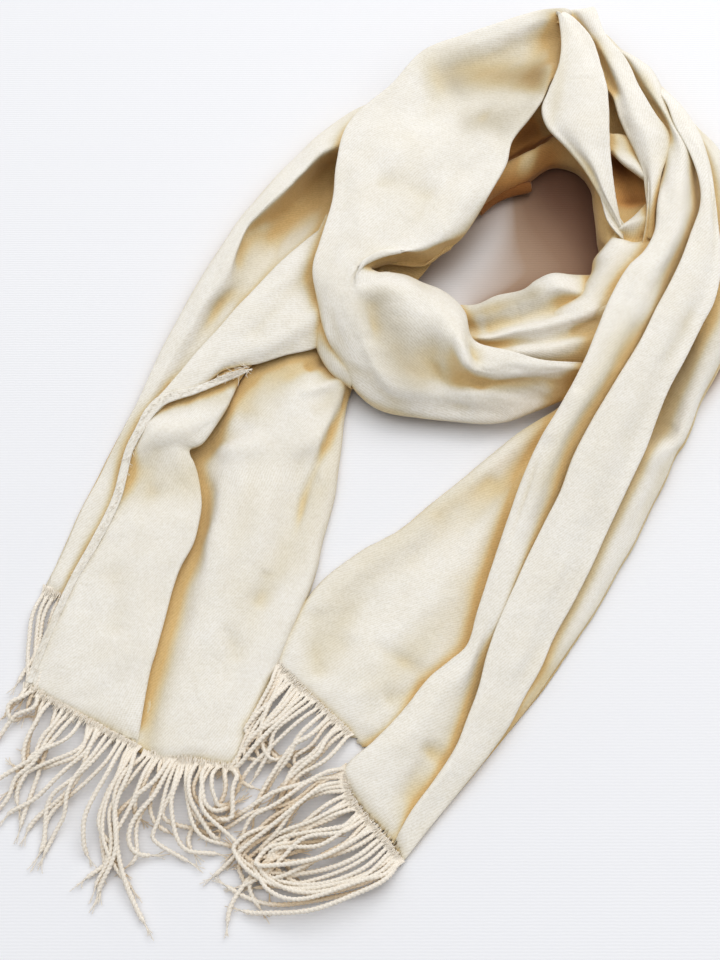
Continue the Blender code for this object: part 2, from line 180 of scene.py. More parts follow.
def setStudio():
    bpy.ops.object.select_all(action="DESELECT")
    bpy.ops.object.camera_add(location=studio["camera"], rotation=(math.radians(studio["tilt"]), 0, 0))
    camera = bpy.context.object
    camera.data.sensor_fit = "VERTICAL"
    camera.data.sensor_height = studio["frameHeight"]
    camera.data.lens = studio["lens"]
    bpy.context.scene.camera = camera
    layTable()

    bpy.ops.object.light_add(type="AREA", location=studio["key"])
    key = bpy.context.object
    key.name = "key"
    key.data.shape = "RECTANGLE"
    key.data.size, key.data.size_y = studio["keySize"]
    key.data.energy = studio["keyPower"]
    key.data.color = studio["keyColour"]
    x, y, z = np.array(studio["target"]) - np.array(key.location)
    key.rotation_euler = (math.atan2(math.hypot(x, y), -z), 0, math.atan2(y, x) - math.pi / 2)

    world = bpy.data.worlds.new("studio")
    bpy.context.scene.world = world
    world.use_nodes = True
    tree = world.node_tree
    way = addNode(tree, "TexCoord", {}).outputs["Generated"]
    parts = addNode(tree, "SeparateXYZ", {"Vector": way}).outputs
    height = colourRamp(tree, parts["Z"], studio["byHeight"])
    behind = addNode(tree, "MapRange", {"Value": parts["Y"], "From Min": -1, "To Min": studio["front"],
                                        "To Max": 1}).outputs["Result"]
    both = addNode(tree, "VectorMath", {0: height, "Scale": behind}, operation="SCALE")
    setInputs(tree, tree.nodes["Background"], {"Color": both.outputs["Vector"], "Strength": studio["sky"]})
    bpy.context.scene.view_settings.view_transform = "Standard"
    bpy.context.scene.view_settings.look = "Medium High Contrast"
    print("studio set")


cloth = {
    "wall": 1.2,            # mm, one layer of napped twill
    "twill": 1.7,           # mm from one twill line to the next
    "lean": 29,             # degrees, clockwise from the length of the cloth
    "yarns": 0.62,          # mm from one yarn across the cloth to the next
    "nap": 0.35,            # mm
    "rumple": 1.6,          # mm that the cloth is uneven between its folds
    # painted shade: cream where the cloth lies open, gold and then brown down in the folds
    "paintedShadeByDepth": ((0, (0.865, 0.84, 0.79)), (0.35, (0.77, 0.72, 0.605)), (0.65, (0.74, 0.63, 0.42)),
                (1.0, (0.70, 0.505, 0.25)), (1.3, (0.62, 0.34, 0.125)), (1.6, (0.30, 0.13, 0.04))),
    # painted dimming: a neutral darkening laid over the painted shade
    "paintedDimming": ((0, (1, 1, 1)), (1, (0.06, 0.03, 0))),
    "grain": ((0.34, (0.86, 0.84, 0.79)), (0.62, (1, 1, 1))),
    "patches": ((0.35, (0.97, 0.96, 0.935)), (0.65, (1, 1, 1))),
    "sheen": (1.0, 0.97, 0.9, 1),
    "lowest": 0.7,          # mm above the table
    # soft waves between the folds: mm high, long and wide, and a seed of their own
    "waves": ((1.3, 62, 17, 0), (0.6, 22, 9, 5)),
    "hemLies": 2.2,         # mm above the table, where a cut end lies on its fringe
    "hemSinks": 10,         # mm from the cut end
}
darkest = cloth["paintedShadeByDepth"][-1][0]


def twillLook():
    look, tree, shader = newLook("cream_twill")
    place = addNode(tree, "TexCoord", {}).outputs
    turned = addNode(tree, "Mapping", {"Vector": place["UV"],
                                       "Rotation": (0, 0, math.radians(90 - cloth["lean"]))})
    # the raised diagonal of the twill, single yarns across it, and the nap over both
    twill = addNode(tree, "TexWave", {"Vector": turned.outputs["Vector"], "Detail": 2, "Detail Scale": 1.5,
                                      "Scale": waveScale(cloth["twill"]), "Distortion": 4})
    yarns = addNode(tree, "TexWave", {"Vector": place["UV"], "Scale": waveScale(cloth["yarns"]),
                                      "Distortion": 0.8})
    nap = addNode(tree, "TexNoise", {"Vector": place["Object"], "Scale": 620, "Detail": 4,
                                     "Roughness": 0.65})
    weave = blended(tree, 0.45, twill.outputs["Fac"], yarns.outputs["Fac"])
    surface = blended(tree, 0.7, weave, nap.outputs["Fac"])
    cloud = addNode(tree, "TexNoise", {"Vector": place["Object"], "Scale": 38, "Detail": 3})
    rumple = addNode(tree, "TexNoise", {"Vector": place["Object"], "Scale": 95, "Detail": 3})

    # painted shade, darker the deeper a place lies in the folds, then painted dimming, the weave's own
    # grain and random patches
    depth = colourRamp(tree, marked(tree, "paintedShade"),
                       [(deep / darkest, colour) for deep, colour in cloth["paintedShadeByDepth"]])
    colour = multiplied(tree, depth, colourRamp(tree, marked(tree, "paintedDim"), cloth["paintedDimming"]),
                        colourRamp(tree, surface, cloth["grain"]),
                        colourRamp(tree, cloud.outputs["Fac"], cloth["patches"]))
    soft = addNode(tree, "Bump", {"Strength": 0.6, "Distance": cloth["rumple"] * mm,
                                  "Height": rumple.outputs["Fac"]})
    fine = addNode(tree, "Bump", {"Strength": 0.7, "Distance": cloth["nap"] * mm, "Height": surface,
                                  "Normal": soft.outputs["Normal"]})
    rough = addNode(tree, "MapRange", {"Value": surface, "To Min": 0.92, "To Max": 0.78})
    setInputs(tree, shader, {"Base Color": colour, "Normal": fine.outputs["Normal"],
                             "Roughness": rough.outputs["Result"], "Specular IOR Level": 0.25,
                             "Sheen Weight": 0.25, "Sheen Roughness": 0.5, "Sheen Tint": cloth["sheen"]})
    return look


def curveThrough(points, knots, wanted):
    # a smooth line through the points, read at the wanted places
    gap = np.diff(knots)
    flat = points.reshape(len(points), -1)
    slope = np.diff(flat, axis=0) / gap[:, None]
    lean = np.empty_like(flat)
    lean[0], lean[-1] = slope[0], slope[-1]
    before, after = gap[:-1, None], gap[1:, None]
    lean[1:-1] = (slope[:-1] * after + slope[1:] * before) / (before + after)
    span = np.clip(np.searchsorted(knots, wanted, "right") - 1, 0, len(gap) - 1)
    t = ((wanted - knots[span]) / gap[span])[:, None]
    width = gap[span][:, None]
    there = (flat[span] * (1 + 2 * t) * (1 - t) ** 2 + flat[span + 1] * t * t * (3 - 2 * t)
             + lean[span] * width * t * (1 - t) ** 2 + lean[span + 1] * width * t * t * (t - 1))
    return there.reshape((len(wanted),) + points.shape[1:])


def lengthsAlong(points):
    steps = np.linalg.norm(np.diff(points, axis=0), axis=-1)
    return np.concatenate([[0], np.cumsum(np.maximum(steps, 1e-4))])


def smoothLine(line, step=4):
    points = np.array(line, float)
    knots = lengthsAlong(points)
    return curveThrough(points, knots, np.linspace(0, knots[-1], max(3, int(knots[-1] / step))))


def outwardOf(edge, inner):
    away = edge - inner
    away[:, 2] = 0
    return away / np.maximum(np.linalg.norm(away, axis=1), 1e-6)[:, None]


# How an edge goes on. A hanging one is rolled under, with shade beneath it: mm outwards and up.
# The others come down to the table: mm outwards, and the share of their height that is left.
edges = {
    "hang": ((-0.4, -1.6), (-2.5, -3.2), (-6, -3.0), (-11, -2.6)),
    "folded": ((0.7, 0.6), (0.5, 0.3), (-1.0, 0.08)),
    "layered": ((-0.8, 0.72), (-1.6, 0.58), (0.8, 0.45), (1.6, 0.3), (0.2, 0.08)),
    "straight": ((-0.6, 0.75), (-1.6, 0.4), (-2.4, 0.1)),
    "behind": ((0.8, 0.72), (1.0, 0.35), (0.9, 0.02)),      # share of the reach outwards, and of the height
    "flat": 0.9,            # mm above the table, where they lie
    "under": (8, 20),       # mm that they go on below the cloth
}


def sideOf(edge, inner, kind):
    # the rows of places that carry an edge on
    if kind == "open":
        return []
    out = outwardOf(edge, inner)
    if kind == "hang":
        return [edge + out * reach + (0, 0, rise) for reach, rise in edges["hang"]]
    rows = []
    for reach, share in edges[kind] + tuple((-reach, 0) for reach in edges["under"]):
        row = edge + out * reach
        row[:, 2] = edges["flat"] + (edge[:, 2] - edges["flat"]) * share
        rows.append(row)
    return rows


def overTheBack(sections, reach):
    # the cloth turns down at the back of the loop
    top = sections[0]
    away = outwardOf(top, sections[1])
    extra = []
    for out, share in edges["behind"]:
        row = top + away * out * reach
        row[:, 2] = edges["flat"] + (top[:, 2] - edges["flat"]) * share
        extra.append(row)
    return np.concatenate([np.array(extra[::-1]), sections])


def distanceTo(line, x, y):
    # distance to a line of places, signed by side, and the share of its length at the nearest place
    best = np.full(x.shape, 1e9)
    side = np.zeros(x.shape)
    share = np.zeros(x.shape)
    total = np.sum(np.linalg.norm(np.diff(line, axis=0), axis=1))
    passed = 0
    for (ax, ay), (bx, by) in zip(line[:-1], line[1:]):
        lx, ly = bx - ax, by - ay
        size = math.hypot(lx, ly)
        t = np.clip(((x - ax) * lx + (y - ay) * ly) / size ** 2, 0, 1)
        dx, dy = x - ax - t * lx, y - ay - t * ly
        away = np.hypot(dx, dy)
        near = away < best
        best = np.where(near, away, best)
        side = np.where(near, np.sign(lx * dy - ly * dx), side)
        share = np.where(near, (passed + t * size) / total, share)
        passed += size
    return best, side, share


# What a crease changes, as shares of its height: the form, the painted shade and the painted dimming of the
# cloth.
creaseKinds = {
    "ridge": (1, 0, 0),
    "fold": (1, 0, 0),      # steep on the left of its line and long on the right
    # a trough also paints a little shade along its line
    "trough": (-1, 0.05, 0),
    # a shade crease paints shade into the colour, and lightens it where its height is below nought
    "shade": (0, 1, 0),
    "paintedDim": (0, 0, 1),
}
creaseEnds = 0.18           # share of its length over which it fades in and out


def creaseOf(crease, x, y):
    kind, width, height, line = crease
    away, side, share = distanceTo(smoothLine(line), x, y)
    fade = np.clip(share / creaseEnds, 0, 1) * np.clip((1 - share) / creaseEnds, 0, 1)
    fade = fade * fade * (3 - 2 * fade)
    uneven = 0.8 + 0.2 * np.sin(share * 9 + line[0][0])
    if kind == "fold":
        width = np.where(side < 0, width * 2.4, width * 0.7)
    shape = np.exp(-(away / width) ** 2) * fade * uneven
    return [part * height * shape for part in creaseKinds[kind]]


def layPlaces(piece):
    # an even net of places over the folds and past their edges
    sections = np.array(list(piece["rows"].values()), float).transpose(1, 0, 2)
    if "back" in piece:
        sections = overTheBack(sections, piece["back"])
    left, right = piece["sides"]
    folds = [sections[:, k] for k in range(sections.shape[1])]
    before = sideOf(folds[0], folds[1], left)
    after = sideOf(folds[-1], folds[-2], right)
    control = np.stack(before[::-1] + folds + after, axis=1)
    along, across = piece["mesh"]
    knots = lengthsAlong(control[:, len(before) + len(folds) // 2])
    places = np.empty((along, across, 3))
    for n, station in enumerate(curveThrough(control, knots, np.linspace(0, knots[-1], along))):
        around = lengthsAlong(station)
        dense = curveThrough(station, around, np.linspace(0, around[-1], 5 * across))
        run = lengthsAlong(dense)
        even = np.linspace(0, run[-1], across)
        for axis in range(3):
            places[n, :, axis] = np.interp(even, run, dense[:, axis])
    return places


def clothSizes(places):
    # the cloth's own length and width at each place, for the weave
    along, across = places.shape[:2]
    length = np.repeat(lengthsAlong(places[:, across // 2])[:, None], across, axis=1)
    steps = np.linalg.norm(np.diff(places, axis=1), axis=-1)
    width = np.concatenate([np.zeros((along, 1)), np.cumsum(steps, axis=1)], axis=1)
    return length, width - width[:, across // 2:across // 2 + 1]


def crumple(piece, places, normal, length, width):
    # the creases and soft waves between the folds, and the painted shade and painted dimming that come with
    # them
    along, across = piece["mesh"]
    lift, tone, paintedDim = np.zeros((3, along, across))
    for crease in piece.get("creases", []):
        for layer, part in zip((lift, tone, paintedDim), creaseOf(crease, places[..., 0], places[..., 1])):
            layer += part
    for n in range(along):
        for m in range(across):
            swell = sum(high * noise.noise((length[n, m] / long, width[n, m] / wide, piece["seed"] + own))
                        for high, long, wide, own in cloth["waves"])
            lift[n, m] += piece["waves"] * swell
    top = np.clip((normal[..., 2] - 0.15) / 0.5, 0, 1)      # none of it on what is turned under
    places += normal * (lift * top)[..., None]
    if piece.get("hem"):        # the cut end is a little uneven, and lies down on its fringe
        random = np.random.default_rng(piece["seed"])
        places[-1] += (places[-1] - places[-3]) * random.uniform(-0.5, 0.6, (across, 1))
        sink = np.clip(1 - (length[-1] - length) / cloth["hemSinks"], 0, 1) ** 2
        places[..., 2] -= sink * np.clip(places[..., 2] - cloth["hemLies"], 0, 4)
    places[..., 2] = np.maximum(places[..., 2], cloth["lowest"])
    return tone, paintedDim


def markVertices(thing, name, values):
    mark = thing.data.attributes.new(name, "FLOAT", "POINT")
    mark.data.foreach_set("value", values.astype(np.float32))


def layCloth(name, piece):
    places = layPlaces(piece)
    along, across = piece["mesh"]
    length, width = clothSizes(places)
    normal = np.cross(np.gradient(places, axis=1), np.gradient(places, axis=0))
    normal /= np.maximum(np.linalg.norm(normal, axis=-1), 1e-9)[..., None]
    facing = np.sign(np.median(normal[..., 2]))
    normal *= facing
    width *= facing
    tone, paintedDim = crumple(piece, places, normal, length, width)

    bpy.ops.object.select_all(action="DESELECT")
    bpy.ops.mesh.primitive_grid_add(x_subdivisions=across - 1, y_subdivisions=along - 1)
    shell = bpy.context.object
    shell.name = name
    shell.data.vertices.foreach_set("co", (places * mm).ravel())
    corners = np.empty(len(shell.data.loops), dtype=np.int32)
    shell.data.loops.foreach_get("vertex_index", corners)
    weave = shell.data.uv_layers.active or shell.data.uv_layers.new(name="UVMap")
    flat = np.stack([length.ravel()[corners], width.ravel()[corners]], axis=1) * mm
    weave.data.foreach_set("uv", flat.ravel())
    shell.data.update()
    if facing < 0:
        bpy.ops.object.mode_set(mode="EDIT")
        bpy.ops.mesh.select_all(action="SELECT")
        bpy.ops.mesh.flip_normals()
        bpy.ops.object.mode_set(mode="OBJECT")
    wall = shell.modifiers.new("wall", "SOLIDIFY")
    wall.thickness = cloth["wall"] * mm
    wall.offset = -1
    bpy.ops.object.modifier_apply(modifier=wall.name)
    bpy.ops.object.shade_smooth()
    shell.data.materials.append(looks["twill"])
    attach(shell, "root")
    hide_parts(*piece["replaces"])
    # the outer side comes first among a shell's vertices, and only it takes the painted dimming
    markVertices(shell, "paintedDim", np.pad(paintedDim.ravel(), (0, len(shell.data.vertices) - paintedDim.size)))
    shells[name] = shell
    creaseShades[name] = tone
    # the painted shade of a shut-in shell may go on to dark brown
    deepest[name] = darkest if piece.get("shutIn") else 1
    size = (float(np.mean(width.max(axis=1) - width.min(axis=1))) * mm, float(length.max()) * mm)
    print(name, "laid, %.3f x %.3f m," % size, len(shell.data.polygons), "faces")


yarn = {
    "radius": 1.45,         # mm, one of the two plies
    "turn": 6.0,            # mm for a whole turn of the two plies
    "step": 0.9,            # mm between two rings of the mesh
    "places": 24,           # places along a strand while it is bent
    "bends": (1.2, 2.3, 3.9),       # half waves in the length of a strand
    "lowest": 1.7,          # mm above the table
    "root": 6,              # mm of a strand that goes in under the hem
    "rootSink": 2.4,        # mm
    "rootLowest": 1.4,
    "gathered": 7,          # threads that gather from the hem into a strand
    "hemWidth": 2.9,        # mm of hem to either side that they come from
    "joined": (13, 17),     # mm along the strand
    "tipHairs": 5,
    "tipFlare": 1.7,        # mm
    "tipReach": (4, 9),
    "cutEnds": 0.6,         # mm along the hem between short ends of cut yarn
    "cutReach": (3.5, 8.0),
    "hairLowest": 0.5,
    "hair": 0.36,           # mm
    "thread": 1.5,          # times as thick as a hair
    "fineHair": 0.7,
    # painted shade on the strands: lit where they lie open, deep gold where they lie in among others
    "lit": (0.92, 0.87, 0.79),
    "deep": (0.76, 0.58, 0.36),
    "grain": ((0.3, (0.82, 0.78, 0.72)), (0.65, (1, 1, 1))),
}


def strandLook():
    look, tree, shader = newLook("ivory_strands")
    place = addNode(tree, "TexCoord", {}).outputs["Object"]
    fibres = addNode(tree, "TexNoise", {"Vector": place, "Scale": 1600, "Detail": 3}).outputs["Fac"]
    # painted shade between the strands, over the fibres' own grain
    depth = colourRamp(tree, marked(tree, "paintedShade"), ((0, yarn["lit"]), (1, yarn["deep"])))
    colour = multiplied(tree, depth, colourRamp(tree, fibres, yarn["grain"]))
    bump = addNode(tree, "Bump", {"Strength": 0.5, "Distance": 0.0003, "Height": fibres})
    rough = addNode(tree, "MapRange", {"Value": fibres, "To Min": 0.95, "To Max": 0.8})
    setInputs(tree, shader, {"Base Color": colour, "Normal": bump.outputs["Normal"],
                             "Roughness": rough.outputs["Result"], "Specular IOR Level": 0.2,
                             "Sheen Weight": 0.3, "Sheen Tint": cloth["sheen"]})
    return look


def strandRoutes(fringe, random):
    # strands between the guide strands, each a little different from its neighbours
    t = np.linspace(0, 1, yarn["places"])
    guides = [smoothLine(guide, 1.0) for guide in fringe["guides"]]
    shared = [np.stack([np.interp(t, np.linspace(0, 1, len(guide)), guide[:, axis])
                        for axis in range(3)], axis=1) for guide in guides]
    stray = fringe["stray"]
    routes = []
    for place in np.linspace(0, len(guides) - 1, fringe["strands"]):
        low = min(int(place), len(guides) - 2)
        route = shared[low] * (1 - place + low) + shared[low + 1] * (place - low)
        sway = random.normal(0, stray, 2)
        for axis in (0, 1):
            route[:, axis] += sway[axis] * t ** 1.3
            for bends in yarn["bends"]:
                wide = random.normal(0, stray / bends)
                route[:, axis] += wide * (np.sin(t * math.pi * bends + random.uniform(0, 6)) - 0.2) * t
        lift = random.uniform(0, fringe["pile"])
        arch = np.sin(np.clip(t * 1.1, 0, 1) * math.pi) ** 0.8
        route[:, 2] = np.maximum(route[:, 2], yarn["lowest"]) + lift * arch
        route[:, 2] += random.uniform(0, 1.0)
        ahead = (route[1] - route[0]) / np.linalg.norm(route[1] - route[0])
        route[:, 2] -= yarn["rootSink"] * np.clip(1 - t * 6, 0, 1)
        route = np.concatenate([[route[0] - ahead * yarn["root"]], route])
        route[:2, 2] = np.maximum(route[:2, 2], yarn["rootLowest"])
        routes.append(smoothLine(route, yarn["step"]))
    return routes


def gatheredThreads(route, random):
    # threads that come out of the hem and join into the strand
    root = route[0]
    ahead = route[6] - root
    ahead /= np.linalg.norm(ahead)
    sidewise = np.array([-ahead[1], ahead[0], 0])
    threads = []
    for spread in np.linspace(-yarn["hemWidth"], yarn["hemWidth"], yarn["gathered"]):
        start = root + ahead * 4 + sidewise * (spread + random.normal(0, 0.2)) + (0, 0, 1.4)
        joint = route[min(len(route) - 1, int(random.uniform(*yarn["joined"]) / yarn["step"]))]
        threads.append(np.array([start, start * 0.5 + joint * 0.5 - sidewise * spread * 0.16, joint]))
    return threads


def frayedTip(route, random):
    tip = route[-1]
    ahead = tip - route[-8]
    ahead /= max(np.linalg.norm(ahead), 1e-6)
    hairs = []
    for _ in range(yarn["tipHairs"]):
        flare = random.normal(0, yarn["tipFlare"], 3)
        flare[2] = abs(flare[2]) * 0.3
        reach = random.uniform(*yarn["tipReach"])
        hairs.append(np.array([tip - ahead * 3, tip + ahead * reach * 0.5 + flare * 0.4,
                               tip + ahead * reach + flare]))
    return hairs


def cutEnds(start, finish, random):
    # short ends of cut yarn along a straight stretch of the hem
    start, finish = np.array(start, float), np.array(finish, float)
    size = np.linalg.norm(finish - start)
    way = (finish - start) / size
    out = np.array([way[1], -way[0], 0])
    hairs = []
    for place in np.arange(0, size, yarn["cutEnds"]):
        at = start + way * (place + random.normal(0, 0.4)) - out * random.uniform(0.5, 2.5)
        at += (0, 0, 1.5)
        drop = out * random.uniform(*yarn["cutReach"]) + way * random.normal(0, 1.0)
        drop[2] -= random.uniform(0.2, 1.2)
        hairs.append(np.array([at, at + drop * 0.5 + (0, 0, 0.3), at + drop]))
    return hairs


def plyProfile():
    # the outline of two plies side by side, which turns along the strand
    bpy.ops.object.select_all(action="DESELECT")
    bpy.ops.curve.primitive_bezier_circle_add()
    profile = bpy.context.object
    profile.name = "two_plies"
    profile.data.splines.clear()
    spline = profile.data.splines.new("POLY")
    turns = (-0.62, -0.2, 0.2, 0.62)
    places = [(side * (0.34 + math.cos(turn * math.pi) * 0.86), side * math.sin(turn * math.pi) * 0.86)
              for side in (1, -1) for turn in turns]
    spline.points.add(len(places) - 1)
    for point, (x, y) in zip(spline.points, places):
        point.co = (x * yarn["radius"] * mm, y * yarn["radius"] * mm, 0, 1)
    spline.use_cyclic_u = True
    return profile


def curvePiece(name, lines, radii, tilts, thick=None):
    # a round thread where it has a thickness in mm, and two twisted plies where it has none
    bpy.ops.object.select_all(action="DESELECT")
    bpy.ops.curve.primitive_bezier_curve_add(location=(0, 0, 0))
    curve = bpy.context.object
    curve.name = name
    data = curve.data
    data.splines.clear()
    data.dimensions = "3D"
    data.twist_mode = "MINIMUM"
    for line, radius, tilt in zip(lines, radii, tilts):
        spline = data.splines.new("POLY")
        spline.points.add(len(line) - 1)
        spline.points.foreach_set("co", np.column_stack([line * mm, np.ones(len(line))]).ravel())
        spline.points.foreach_set("radius", radius)
        spline.points.foreach_set("tilt", tilt)
    if thick:
        data.bevel_depth = thick * mm
        data.bevel_resolution = 0
    else:
        data.bevel_mode = "OBJECT"
        data.bevel_object = profile
    data.use_fill_caps = True
    bpy.ops.object.convert(target="MESH")
    return bpy.context.object


def plainThreads(name, lines, wide, thick):
    return curvePiece(name, lines, [np.full(len(line), each) for line, each in zip(lines, wide)],
                      [np.zeros(len(line)) for line in lines], thick)


def finishFringe(name, thing, count):
    bpy.ops.object.shade_smooth()
    thing.data.materials.clear()
    thing.data.materials.append(looks["strands"])
    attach(thing, "root")
    fringes[name] = thing
    print(name, count, "strands,", len(thing.data.polygons), "faces")


def makeFringe(name, fringe):
    random = np.random.default_rng(fringe["seed"])
    routes = strandRoutes(fringe, random)
    radii, tilts, gathers, hairs = [], [], [], []
    for route in routes:
        run = lengthsAlong(route)
        radius = np.clip((run[-1] - run) / 5, 0.45, 1) * np.clip(0.3 + run / 18, 0.3, 1)
        radii.append(radius * random.uniform(0.9, 1.08))
        tilts.append(run / yarn["turn"] * math.tau + random.uniform(0, math.tau))
        gathers += gatheredThreads(route, random)
        hairs += frayedTip(route, random)
    for start, finish in fringe["hem"]:
        hairs += cutEnds(start, finish, random)
    for hair in gathers + hairs:
        hair[:, 2] = np.maximum(hair[:, 2], yarn["hairLowest"])
    strands = curvePiece(name, routes, radii, tilts)
    loose = [smoothLine(hair, 1.8) for hair in gathers + hairs]
    wide = [yarn["thread"]] * len(gathers) + [yarn["fineHair"]] * len(hairs)
    threads = plainThreads(name + "_threads", loose, wide, yarn["hair"])
    bpy.ops.object.select_all(action="DESELECT")
    threads.select_set(True)
    strands.select_set(True)
    bpy.context.view_layer.objects.active = strands
    bpy.ops.object.join()
    finishFringe(name, strands, len(routes))
    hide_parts(*fringe["replaces"])


def fraySelvage(name, selvage):
    # the short ends of yarn that stand off a frayed edge
    line = smoothLine(selvage["line"], 1.6)
    random = np.random.default_rng(selvage["seed"])
    ahead = np.gradient(line, axis=0)
    ahead /= np.linalg.norm(ahead, axis=1)[:, None]
    sidewise = np.column_stack([-ahead[:, 1], ahead[:, 0], np.zeros(len(line))])
    # its upper end is pulled apart more than the rest
    spots = np.concatenate([np.arange(2, len(line) - 4, selvage["apart"]),
                            np.arange(0, selvage["pulled"], selvage["pulledApart"])])
    hairs = []
    for spot in spots:
        n = int(spot)
        at = line[n] + sidewise[n] * random.normal(0, selvage["width"] / 2)
        drop = ahead[n] * random.normal(2, 2.0) + sidewise[n] * random.normal(0, 1.8)
        drop = drop * (1 + max(0, 1 - spot / 12))
        hairs.append(np.array([at + (0, 0, 0.4), at + drop * 0.5 + (0, 0, 1.0), at + drop + (0, 0, 0.3)]))
    fray = plainThreads(name, hairs, [1.0] * len(hairs), selvage["hair"])
    finishFringe(name, fray, len(hairs))
    frays.append(name)


# How deep each place lies in the folds, from the cloth that stands round it and over it. This depth is
# painted into the colour as shade.
shading = {
    "margin": 60,           # mm round the shawl
    "ways": 16,             # directions in which the cloth is looked for
    "reaches": (2, 3.5, 6, 9, 13, 18, 27, 40, 60),      # mm
    "strength": 1.5,        # how fast the painted gold shade comes in with depth
    "free": 0.10,           # of it that leaves no shade
    "stepped": 0.6,         # mm of height that hides nothing
    "coverFrom": 2.5,       # mm of cloth above a place, from which it counts as covered
    "coverOver": 4,         # mm over which it comes to lie all in shade
    "valleys": ((4, 0.09), (9, 0.05)),      # mm round a place, and shade for each mm below the mean
    "valleyShade": (-0.03, 0.35),
    "coveredShade": 0.8,
    "steepShade": 0.3,
    "farLight": 0.65,       # share of the shade that goes from the far flank, open to the light
    "tableWays": (-5, 12, 29, 46),          # degrees, towards the upper right
    "tableAhead": (5, 9, 14, 20, 30, 45, 65, 90, 120, 150),
    "tableBehind": (12, 25, 50, 80, 110, 140, 170),
    "tableStep": 16,        # mm of height that throws no shade on the table
}


def placesOf(thing):
    where = np.empty(len(thing.data.vertices) * 3)
    thing.data.vertices.foreach_get("co", where)
    return where.reshape(-1, 3) / mm


def cellsOf(where, grid):
    lowest, size = grid
    column = np.clip((where[:, :2] - lowest).astype(int), 0, size - 1)
    return column[:, 0], column[:, 1]


def heightMap(things, grid):
    # the highest place in each square millimetre
    lowest, size = grid
    tops = np.zeros(size)
    for thing in things:
        where = placesOf(thing)
        np.maximum.at(tops, cellsOf(where, grid), where[:, 2])
    for _ in range(2):      # closes the gaps between vertices
        around = np.maximum.reduce([np.roll(tops, shift, axis) for shift in (-1, 1) for axis in (0, 1)])
        tops = np.where(tops < around - 3, around, tops)
    return tops


def horizonOf(where, turn, reaches, tops, grid):
    # the steepest rise of the cloth seen from each place in one direction
    horizon = np.zeros(len(where))
    for reach in reaches:
        spot = where[:, :2] + reach * np.array([math.cos(turn), math.sin(turn)])
        horizon = np.maximum(horizon, (tops[cellsOf(spot, grid)] - where[:, 2]
                                       - shading["stepped"]) / reach)
    return horizon


def spreadOut(values, reach):
    # the mean over a square of places, taken twice
    for _ in range(2):
        for axis in (0, 1):
            margin = [(reach + 1, reach) if side == axis else (0, 0) for side in (0, 1)]
            run = np.cumsum(np.pad(values, margin, mode="edge"), axis=axis)
            ahead = np.take(run, range(2 * reach + 1, run.shape[axis]), axis=axis)
            behind = np.take(run, range(0, run.shape[axis] - 2 * reach - 1), axis=axis)
            values = (ahead - behind) / (2 * reach + 1)
    return values


def smoothed(values, times):
    for _ in range(times):
        padded = np.pad(values, 1, mode="edge")
        values = (padded[1:-1, 1:-1] * 4 + padded[:-2, 1:-1] + padded[2:, 1:-1]
                  + padded[1:-1, :-2] + padded[1:-1, 2:]) / 8
    return values


def shellDepth(name, shell, deep, covered, openWays, below):
    facing = np.empty(len(deep) * 3)
    shell.data.vertices.foreach_get("normal", facing)
    facing = facing.reshape(-1, 3)
    steep = np.clip((0.72 - facing[:, 2]) / 0.7, 0, 1)
    # painted shade goes into a soft valley too, however wide it is
    for depth, (reach, share) in zip(below, shading["valleys"]):
        deep += np.clip(depth * share, *shading["valleyShade"])
    deep = np.maximum(deep, covered * shading["coveredShade"])
    deep = np.clip(np.maximum(deep, steep * shading["steepShade"]), 0, 1)
    ways = shading["ways"]
    widest = np.max([np.roll(openWays, n, axis=0)[:5].mean(axis=0) for n in range(ways)], axis=0)
    far = np.clip((facing[:, 0] + facing[:, 1]) / 0.4, 0, 1) * np.clip((0.8 - facing[:, 2]) / 0.3, 0, 1)
    deep *= 1 - shading["farLight"] * (far * np.clip((widest - 0.7) / 0.2, 0, 1))
    tone = creaseShades[name]
    outer = smoothed(deep[:tone.size].reshape(tone.shape), 3)
    deep[:tone.size] = np.clip(outer + tone, 0, deepest[name]).ravel()
    return deep / darkest


def paintShadeInHollows():
    low, high = [np.array(corner[:2]) / mm for corner in cadBox]
    lowest = low - shading["margin"]
    grid = (lowest, (high + shading["margin"] - lowest).astype(int))
    clothTops = heightMap(shells.values(), grid)
    allTops = heightMap([*shells.values(), *fringes.values()], grid)
    there = (clothTops > 1.0).astype(float)
    means = [spreadOut(clothTops * there, reach) / np.maximum(spreadOut(there, reach), 0.05)
             for reach, share in shading["valleys"]]
    for name, thing in [*shells.items(), *fringes.items()]:
        where = placesOf(thing)
        openWays = np.array([1 / (1 + horizonOf(where, turn, shading["reaches"], allTops, grid) ** 2)
                             for turn in np.arange(shading["ways"]) * math.tau / shading["ways"]])
        cells = cellsOf(where, grid)
        over = allTops[cells] - where[:, 2] - shading["coverFrom"]
        covered = np.clip(over / shading["coverOver"], 0, 1)
        deep = np.clip((1 - openWays.mean(axis=0)) * shading["strength"] - shading["free"], 0, 1)
        if name in shells:
            below = [mean[cells] - where[:, 2] for mean in means]
            deep = shellDepth(name, thing, deep, covered, openWays, below)
        else:
            deep = np.maximum(deep * 0.6, covered * 0.4) * (0 if name in frays else 1)
        # the painted shade of each place, kept on its vertices
        markVertices(thing, "paintedShade", deep)
    shadeTable(clothTops, grid)
    print("hollows marked")


